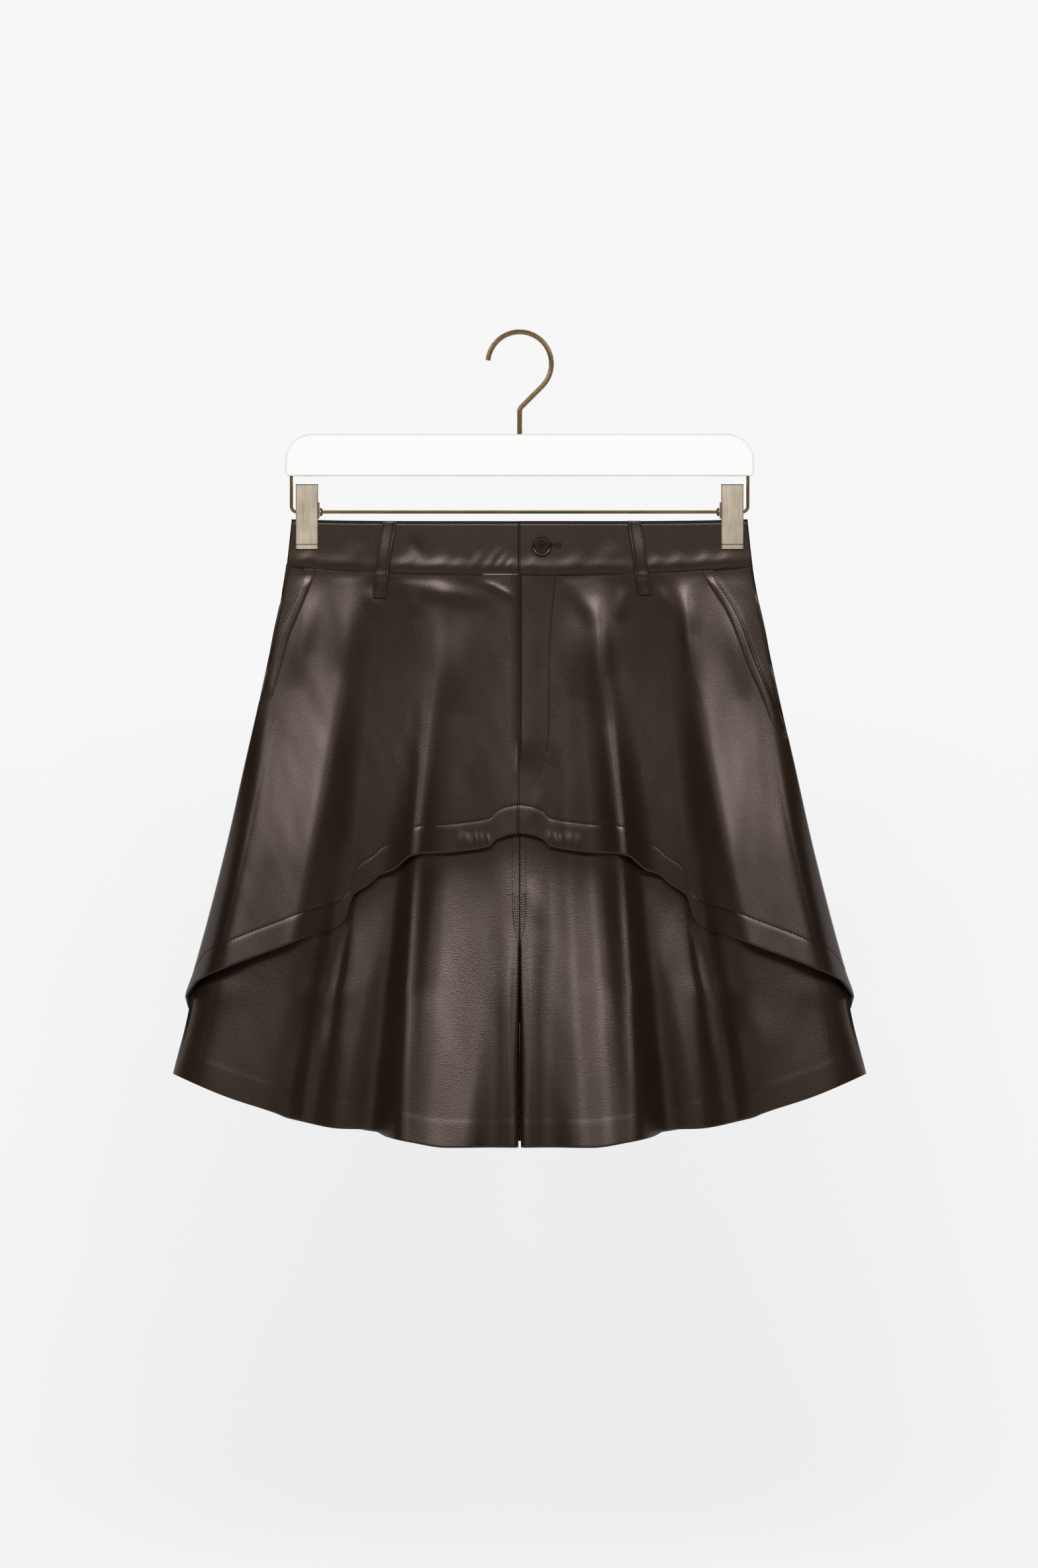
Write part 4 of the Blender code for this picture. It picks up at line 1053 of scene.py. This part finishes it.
# Lower panels: a deeper pebble of about 1.4 mm that breaks the light into small points.
leg_leather = grained_leather("pebbled_brown_nappa", "#1e150e", "#241a12", 1.4, 0.05, 0.235)


def leg_panel(name, layer, sign, half, part):
    """One of the four panels, with its crotch extension round the inner leg."""
    side = np.concatenate([np.linspace(LEG_INNER, WRAP_FROM, 94), np.linspace(WRAP_FROM, 1.0, 13)[1:]])
    places = np.append(side, 1.0 + WRAPPED)[::-1]
    edge = np.array(LEG_EDGE_X)
    top = seam_height(places) - CLOSED
    hem = layer.hem(places)
    centre_hem = float(layer.hem(0.0))
    upper = np.linspace(0.0, 1.0, 88)
    glued = LEG_GLUED_HEM / (CROTCH - centre_hem)
    lower = np.concatenate([
        np.linspace(0.0, 1.0 - glued - 0.02, 62)[1:],
        np.linspace(1.0 - glued - 0.015, 1.0 - glued + 0.015, 5),
        np.linspace(1.0 - glued + 0.02, 1.0, 12),
    ])
    levels = [(SEAM - CLOSED + (CROTCH - SEAM + CLOSED) * t, top + (CROTCH - top) * t) for t in upper]
    levels += [(CROTCH + (centre_hem - CROTCH) * t, CROTCH + (hem - CROTCH) * t) for t in lower]
    points = []
    for centre_z, z in levels:
        main = layer.point(sign * places, z)
        below = CROTCH - centre_z
        part_x = CLOSED + (part - CLOSED) * ease(below / LEG_ROUND_REACH)
        radius = LEG_ROUND_TOP + (LEG_ROUND - LEG_ROUND_TOP) * ease(below / LEG_ROUND_REACH)
        if below < 0:
            radius = 0.0
        x = np.append(edge, part_x)
        depth = layer.depth(sign * x / layer.width(centre_z), centre_z)
        inside = np.clip(radius - (x - part_x), 0.0, radius)
        drop = radius - np.sqrt(np.maximum(radius ** 2 - inside ** 2, 0.0))
        near = np.stack([sign * x, layer.facing * (depth - drop), centre_z + 0 * x], axis=-1)
        points.append(np.concatenate([main, near]))
    columns = len(places) + len(edge) + 1
    rows = len(points)
    points = np.concatenate(points)
    faces = [grid_faces(rows, columns, flip=True)]
    # The inner leg runs from the rounded edge back to the inseam, under the crotch seam.
    first = len(upper) - 1
    edge_ids = np.arange(first, rows) * columns + columns - 1
    ids = [edge_ids]
    extra = []
    steps = 14
    down = np.linspace(0.0, 1.0, len(edge_ids))
    for k in range(1, steps + 1):
        share = k / steps
        crotch = CROTCH - CROTCH_SINK * math.sin(0.5 * math.pi * share)
        start = points[edge_ids]
        y = start[:, 1] + (layer.facing * 0.5 * GAP - start[:, 1]) * share
        column = np.stack([start[:, 0], y, crotch + (centre_hem - crotch) * down], axis=-1)
        ids.append(len(points) + (k - 1) * len(edge_ids) + np.arange(len(edge_ids)))
        extra.append(column)
    for a, b in zip(ids, ids[1:]):
        faces.append(np.stack([a[:-1], b[:-1], b[1:], a[1:]], axis=-1))
    points = np.concatenate([points] + extra)
    faces = np.concatenate(faces)
    if sign * layer.facing > 0:
        faces = faces[:, ::-1]
    made = hide(f"leg_{half}_{name}_leather", points, faces, PANEL_WALL, leg_leather)
    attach(made, "root")
    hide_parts(f"leg_{half}_{name}")


for side_name, side_sign in (("left", -1), ("right", 1)):
    leg_panel(side_name, shorts_front, side_sign, "front", LEG_PART)
    leg_panel(side_name, shorts_back, side_sign, "back", LEG_PART_BACK)

# The centre seam is topstitched on both sides, and closely at the crotch.
down = np.array([SEAM_ROW_TOP, -440.0, BAR_TOP_Z, -480.0, BAR_LOW_Z])
narrow = np.array([1.0, 1.0, 1.0, 0.8, 0.15])
leg_rows = [
    path_on(shorts_front, SEAM_ROW_LEFT * narrow, down),
    path_on(shorts_front, SEAM_ROW_RIGHT * narrow, down),
]
sew("leg_centre_topstitch", leg_rows, pitch=2.6, length=2.0, thickness=0.6)
tight = []
for k in range(20):
    z = BAR_TOP_Z - 1.0 - 2.0 * k
    reach = 5.6 * (1.0 - 0.85 * ease((k - 9) / 11.0))
    tight.append(path_on(shorts_front, [-reach, -0.3 * reach], [z, z - 0.7], steps=6))
    tight.append(path_on(shorts_front, [0.25 * reach, reach], [z - 0.9, z - 0.2], steps=6))
sew("crotch_reinforcing_stitches", tight, pitch=1.4, length=1.4, thickness=0.8, seed=4)

# --- Waistband -------------------------------------------------------------------------------
# Doubled nappa over a firm core, in three lengths: the right front end laps the left at the
# centre, and the back is one. It is topstitched along both edges and at the lapping end.

BAND_WALL = 2.8
WAIST_TOP = -152.4
WAIST_TOP_RISE = 1.6
BAND_SIDE = 4.1
BAND_BOW_TOP = 6.0
BAND_BOW_SEAM = 6.3
OVERLAP_OUT = 1.5
OVERLAP_IN = 1.9
OVERLAP_FADE = 40.0
UNDERLAP_END = 33.0
BAND_TOP_ROW = 2.2
BAND_DENT = 0.12
BAND_PUFF = 0.45
BAND_LOW_ROW = 1.9
BAND_CREASES = table(Crease,
    (-30, -197, -15, -172, 3.1, 0.45), (-22, -197, -9, -177, 2.6, 0.5),
    (-13, -196, -5, -182, 2.4, 0.45), (-42, -196, -30, -177, 3.6, 0.4), (-56, -196, -46, -182, 4, 0.3),
    (-92, -164, -78, -184, 4.8, -0.4), (-102, -194, -84, -178, 5.5, 0.5),
    (-74, -195, -58, -180, 5.5, 0.45), (-150, -195, -128, -170, 7.2, 0.4),
    (-184, -192, -170, -176, 4.8, 0.45), (6, -196, 12, -180, 3.5, 0.3), (30, -195, 56, -180, 6, 0.4),
    (60, -192, 84, -172, 7.4, 0.45), (104, -196, 116, -180, 4.8, 0.45),
    (120, -195, 136, -178, 5.2, 0.4), (146, -194, 156, -176, 4.6, 0.4), (164, -192, 172, -176, 4, 0.35),
)


def waist_top(across):
    return WAIST_TOP + WAIST_TOP_RISE * np.abs(across) ** 4


def band_depth(across, z):
    drop = (WAIST_TOP - z) / (WAIST_TOP - SEAM)
    bow = BAND_BOW_TOP + (BAND_BOW_SEAM - BAND_BOW_TOP) * drop
    return BAND_SIDE + bow * clipped_lens(across)


def right_over(x):
    return OVERLAP_OUT * ease(1 - (x - UNDERLAP_END - 2.0) / OVERLAP_FADE)


def left_under(x):
    return -OVERLAP_IN * ease((x + OVERLAP_FADE) / (OVERLAP_FADE - 6.0))


def no_step(x):
    return 0.0 * x


band_swell = smooth(
    (-187.0, -150.0, -112.0, -96.0, -72.0, -42.0, -20.0, 12.0, 44.0, 72.0, 97.0, 132.0, 160.0, 187.0),
    (0.4, 0.75, 0.3, 1.1, 1.3, 0.5, 0.8, 0.9, 0.65, 1.2, 0.35, 0.8, 0.9, 0.4),
)


def band_surface(across, z, step, facing):
    """Depth of the band's finished face: its rows of stitches sink in, and it swells between."""
    x = across * half_width(SEAM)
    above = waist_top(across) - z
    below = z - seam_height(across) - CLOSED
    dents = np.exp(-((above - BAND_TOP_ROW) / 0.8) ** 2) + np.exp(-((below - BAND_LOW_ROW) / 0.8) ** 2)
    swell = band_swell(x) * np.exp(-((below - 7.0) / 5.0) ** 2)
    soft = crease_relief(BAND_CREASES, facing * -x, z)
    return band_depth(across, z) + step(x) - BAND_DENT * dents + BAND_PUFF * swell + soft


def band_piece(name, low_x, high_x, facing, step, replaced):
    reach = half_width(SEAM)
    divisions = int((high_x - low_x) / 1.8)
    across = np.linspace(low_x / reach, high_x / reach, divisions + 1)
    top = waist_top(across)
    bottom = seam_height(across) + CLOSED
    shares = np.concatenate([
        np.linspace(0.0, 0.1, 10), np.linspace(0.1, 0.88, 26)[1:], np.linspace(0.88, 1.0, 12)[1:],
    ])
    points = []
    for part in shares:
        z = top + (bottom - top) * part
        depth = band_surface(across, z, step, facing)
        row = np.stack([across * half_width(z), facing * depth, z], axis=-1)
        # At the side seam the band turns in to meet the other half.
        if low_x < 0.1 - reach:
            row = np.concatenate([row[:1] * (1, 0, 1) + (0, facing * SIDE_CLOSED, 0), row])
        if high_x > reach - 0.1:
            row = np.concatenate([row, row[-1:] * (1, 0, 1) + (0, facing * SIDE_CLOSED, 0)])
        points.append(row)
    faces = grid_faces(len(shares), len(row), flip=facing > 0)
    made = hide(name, points, faces, BAND_WALL, overlay_leather)
    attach(made, "root")
    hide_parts(replaced)


band_reach = float(half_width(SEAM))
band_piece("waistband_front_left_leather", -band_reach, UNDERLAP_END, -1, left_under,
           "waistband_front_left")
band_piece("waistband_front_right_leather", RIGHT_END, band_reach, -1, right_over,
           "waistband_front_right")
band_piece("waistband_back_leather", -band_reach, band_reach, 1, no_step,
           "waistband_back")


def band_path(low_x, high_x, off_top, off_low, facing, step, steps=200):
    """A row of stitches along the band, measured down from its top or up from its seam."""
    across = np.linspace(low_x, high_x, steps) / band_reach
    if off_top is not None:
        z = waist_top(across) - off_top
    else:
        z = seam_height(across) + GAP + off_low
    y = facing * (band_surface(across, z, step, facing) + 0.05)
    return np.stack([across * half_width(z), y, z], axis=-1)


def band_end_path():
    z = np.linspace(waist_top(0.0) - BAND_TOP_ROW, SEAM + GAP + BAND_LOW_ROW, 40)
    across = (RIGHT_END + 2.1) / band_reach + 0 * z
    y = -(band_surface(across, z, right_over, -1) + 0.05)
    return np.stack([across * half_width(z), y, z], axis=-1)


band_paths = [
    band_path(-band_reach + 2.0, RIGHT_END - 2.0, BAND_TOP_ROW, None, -1, left_under),
    band_path(-band_reach + 2.0, RIGHT_END - 2.0, None, BAND_LOW_ROW, -1, left_under),
    band_path(RIGHT_END + 2.1, band_reach - 2.0, BAND_TOP_ROW, None, -1, right_over),
    band_path(RIGHT_END + 2.1, band_reach - 2.0, None, BAND_LOW_ROW, -1, right_over),
    band_path(-band_reach + 2.0, band_reach - 2.0, BAND_TOP_ROW, None, 1, no_step, 400),
    band_path(-band_reach + 2.0, band_reach - 2.0, None, BAND_LOW_ROW, 1, no_step, 400),
    band_end_path(),
]
sew("waistband_stitches", band_paths, pitch=2.6, length=2.0, thickness=0.6)

# --- Belt loops ---------------------------------------------------------------------------
# Strips of nappa folded to 11 mm and stitched along both edges, sewn in under the top of
# the band, and tacked down below it: two in front, and three at the back.

LOOP_WALL = 1.4
LOOP_WIDTH = 11.4
LOOP_BOW = 1.2
LOOP_ROW = 1.7
LOOP_DENT = 0.5
LOOP_EDGE = 0.5
LOOP_REST = 0.3
LOOP_OVER_SEAM = 0.5
LOOP_FOLDED_END = 0.1
Track = namedtuple("Track", "z x")
LOOP_FRONT_LEFT = table(Track,
    (-215, -114.3), (-195, -112.3), (-152.8, -105.8),
)
LOOP_FRONT_RIGHT = table(Track,
    (-212.5, 101.8), (-194, 99.5), (-152.2, 93.3),
)
LOOP_BACK_SIDE_X = 108.0
LOOP_BACK_LEAN = 8.0


def outer_depth(x, z, facing):
    """Depth of what a loop lies on: the band above the seam and the panel below it."""
    layer = overlay_front if facing < 0 else overlay_back
    across = x / half_width(z)
    on_band = band_depth(across, z)
    on_panel = layer.form(across, np.minimum(z, seam_height(across) - GAP))
    return np.maximum(on_band, on_panel)


def belt_loop(name, track, facing):
    centre = smooth([row.z for row in track], [row.x for row in track])
    top = track[-1].z
    bottom = track[0].z
    across = np.array([-0.5, -0.44, -0.38, -0.34, -0.29, -0.15, 0.0, 0.15, 0.29, 0.34, 0.38, 0.44, 0.5])
    dents = np.exp(-((np.abs(across) * LOOP_WIDTH - (0.5 * LOOP_WIDTH - LOOP_ROW)) / 0.55) ** 2)
    steps = 48
    points = []
    edge_rows = ([], [])
    for t in np.linspace(0.0, 1.0, steps):
        z = top + (bottom - top) * t
        x = float(centre(z)) + across * LOOP_WIDTH
        reach = 0.5 * LOOP_WIDTH + 2.0
        ends = [float(centre(z)) - reach, float(centre(z)), float(centre(z)) + reach]
        rest = max(float(outer_depth(e, z + dz, facing)) for e in ends for dz in (-2.0, 0.0, 2.0))
        stand = rest + GAP + LOOP_WALL + LOOP_BOW * math.sin(math.pi * t) ** 2 + LOOP_REST
        over_seam = LOOP_OVER_SEAM * math.exp(-((z - SEAM) / 3.0) ** 2)
        folded_end = LOOP_FOLDED_END * math.exp(-((z - bottom - 2.5) / 2.6) ** 2)
        depth = stand + over_seam + folded_end - LOOP_DENT * dents - LOOP_EDGE * (2 * np.abs(across)) ** 12
        points.append(np.stack([x, facing * depth, z + 0 * x], axis=-1))
        for k, place in enumerate((3, 9)):
            edge_rows[k].append((x[place], facing * (depth[place] + 0.05), z))
    faces = grid_faces(steps, len(across), flip=facing > 0)
    made = hide(name + "_leather", points, faces, LOOP_WALL, overlay_leather)
    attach(made, "root")
    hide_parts(name)
    tack_z = bottom + 5.0
    row = int(round((top - tack_z) / (top - bottom) * (steps - 1)))
    tack = [np.array(points[row][j]) + (0.0, facing * 0.1, 0.0) for j in range(2, len(across) - 2)]
    return [np.array(edge_rows[0][1:-1]), np.array(edge_rows[1][1:-1]), np.array(tack)]


loop_paths = belt_loop("belt_loop_front_left", LOOP_FRONT_LEFT, -1)
loop_paths += belt_loop("belt_loop_front_right", LOOP_FRONT_RIGHT, -1)
for name, x, lean in (
    ("belt_loop_back_left", -LOOP_BACK_SIDE_X, -LOOP_BACK_LEAN),
    ("belt_loop_back_centre", 0.0, 0.0),
    ("belt_loop_back_right", LOOP_BACK_SIDE_X, LOOP_BACK_LEAN),
):
    loop_paths += belt_loop(name, (Track(-213.0, x + lean), Track(-152.6, x)), 1)
sew("belt_loop_stitches", loop_paths, pitch=2.4, length=1.8, thickness=0.55)

# --- Button and buttonhole -----------------------------------------------------------------
# A 16 mm four-hole button of dark polished horn, sewn on with four crossed threads, and a
# straight buttonhole in close satin stitch with a bar at its outer end.

BUTTON_CENTRE = (18.0, -173.1)
BUTTON_HOLE_OFFSET = 1.3
HOLE_LEFT = 24.6
HOLE_RIGHT = 31.2
HOLE_Z = -172.3
HOLE_HALF = 1.2
HOLE_BAR_X = 32.6
HOLE_BAR_HALF = 2.7


def polished_horn():
    """Dark horn with a low polish: faint streaks under a smooth clear surface."""
    made, tree, surface = new_material("polished_dark_horn")
    place = node(tree, "ShaderNodeTexCoord").outputs["Object"]
    pulled = node(tree, "ShaderNodeMapping", {"Vector": place, "Scale": (1.0, 1.0, 0.25)})
    streak = noise(tree, pulled.outputs[0], 420.0, 3.0)
    tone = blend(tree, streak.outputs[0], "#150d09", "#241812")
    scuff = spread(tree, streak.outputs[0], out_low=0.16, out_high=0.28)
    return coat(made, tree, surface, {
        "Base Color": tone.outputs[2], "Roughness": scuff.outputs[0], "IOR": 1.55,
        "Specular Tint": colour("#d9bda9"),
    })


horn = polished_horn()
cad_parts["button"].material_slots[0].material = horn

button_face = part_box("button")[0].y / MM + 0.8
x, z = BUTTON_CENTRE
o = BUTTON_HOLE_OFFSET
cross = [
    np.array([(x - o, button_face, z - o), (x, button_face - 0.4, z), (x + o, button_face, z + o)]),
    np.array([(x - o, button_face, z + o), (x, button_face - 0.4, z), (x + o, button_face, z - o)]),
]
sew("button_threads", cross, pitch=0.9, length=1.3, thickness=0.4)


def on_band(x, z):
    across = np.asarray(x) / band_reach
    y = -(band_surface(across, z, right_over, -1) + 0.1)
    return np.stack([across * half_width(z) + 0 * z, y, z + 0 * y], axis=-1)


satin = []
for k in range(18):
    sx = HOLE_LEFT + (HOLE_RIGHT - HOLE_LEFT) * k / 17
    for a, b in ((0.25, HOLE_HALF), (-0.25, -HOLE_HALF)):
        satin.append(on_band(np.array([sx, sx + 0.05]), np.array([HOLE_Z + a, HOLE_Z + b])))
for k in range(14):
    sz = HOLE_Z - HOLE_BAR_HALF + 2 * HOLE_BAR_HALF * k / 13
    satin.append(on_band(np.array([HOLE_BAR_X - 1.2, HOLE_BAR_X + 1.2]), np.array([sz, sz + 0.1])))
silk = sewing_thread("brown_buttonhole_silk", "#1a120d", "#2a1e16")
sew("buttonhole_satin_stitches", satin, pitch=0.8, length=1.2, thickness=0.36, seed=7, thread=silk)

# --- Hanger --------------------------------------------------------------------------------
# A flat bar of beech under white satin paint, with a bent brass-plated hook and rod, and two
# sprung clips of folded plate. The plating is antiqued dark and brushed back.


def white_paint():
    """Sprayed white satin lacquer on wood: even, with a trace of orange peel."""
    made, tree, surface = new_material("white_satin_lacquer")
    place = node(tree, "ShaderNodeTexCoord").outputs["Object"]
    peel = noise(tree, place, 300.0, 2.0)
    bump = node(tree, "ShaderNodeBump", {"Height": peel.outputs[0], "Strength": 0.1, "Distance": 0.0002})
    tone = blend(tree, peel.outputs[0], "#dadad9", "#dfdfde")
    return coat(made, tree, surface, {
        "Base Color": tone.outputs[2], "Roughness": 0.45, "Normal": bump.outputs[0],
    })


def antique_brass(name, along, dark, bright, clip=None):
    """Brass, blackened and brushed back: fine lines one way, and on a clip, painted shade at its edges."""
    made, tree, surface = new_material(name)
    place = node(tree, "ShaderNodeTexCoord").outputs["Object"]
    lines = node(tree, "ShaderNodeMapping", {"Vector": place, "Scale": along})
    brushed = noise(tree, lines.outputs[0], 1.0, 4.0)
    cloud = noise(tree, place, 60.0, 3.0)
    both = node(tree, "ShaderNodeMath", {
        0: cloud.outputs[0], 1: 0.4, 2: brushed.outputs[0],
    }, operation="MULTIPLY_ADD")
    share = spread(tree, both.outputs[0], 0.5, 0.9)
    tone = blend(tree, share.outputs[0], dark, bright)
    shown = tone.outputs[2]
    if clip is not None:
        low, high = clip
        middle = 0.5 * abs(low.x + high.x)
        half = 0.5 * (high.x - low.x)
        apart = node(tree, "ShaderNodeSeparateXYZ", {0: place})
        out = node(tree, "ShaderNodeMath", {0: apart.outputs["X"]}, operation="ABSOLUTE")
        off = node(tree, "ShaderNodeMath", {0: out.outputs[0], 1: middle}, operation="SUBTRACT")
        near = node(tree, "ShaderNodeMath", {0: off.outputs[0]}, operation="ABSOLUTE")
        # Painted shade: the plate is painted darker towards its side edges.
        edge_shade = [spread(
            tree, near.outputs[0], 0.84 * half, half, 1.0, 0.4, interpolation_type="SMOOTHSTEP"
        )]
        # Painted shade: the plate is painted darkest at the top fold, and along the line over its rolled
        # lower lip.
        for level, reach, least in ((high.z, 0.0016, 0.2), (low.z + 0.0036, 0.0009, 0.25)):
            away = node(tree, "ShaderNodeMath", {0: apart.outputs["Z"], 1: level}, operation="SUBTRACT")
            size = node(tree, "ShaderNodeMath", {0: away.outputs[0]}, operation="ABSOLUTE")
            edge_shade.append(spread(
                tree, size.outputs[0], high=reach, out_low=least, interpolation_type="SMOOTHSTEP"
            ))
        for part in edge_shade:
            shown = node(tree, "ShaderNodeMix", {
                0: 1.0, 6: shown, 7: part.outputs[0],
            }, data_type="RGBA", blend_type="MULTIPLY").outputs[2]
    rough = spread(tree, brushed.outputs[0], out_low=0.28, out_high=0.48)
    bump = node(tree, "ShaderNodeBump", {"Height": brushed.outputs[0], "Strength": 0.3, "Distance": 0.00005})
    return coat(made, tree, surface, {
        "Base Color": shown, "Metallic": 1.0, "Roughness": rough.outputs[0],
        "Normal": bump.outputs[0],
    })


lacquer = white_paint()
plate = antique_brass(
    "brushed_antique_brass_plate", (7000.0, 7000.0, 45.0), "#83776a", "#b5a997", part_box("clip_front_right")
)
wire_brass = antique_brass("antique_brass_wire", (900.0, 900.0, 900.0), "#614f38", "#8a7350")
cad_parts["hanger_bar"].material_slots[0].material = lacquer
for name in ("clip_front_left", "clip_front_right", "clip_back_left", "clip_back_right"):
    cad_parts[name].material_slots[0].material = plate
for name in ("hanger_hook", "hanger_rod", "clip_collar_left", "clip_collar_right"):
    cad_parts[name].material_slots[0].material = wire_brass
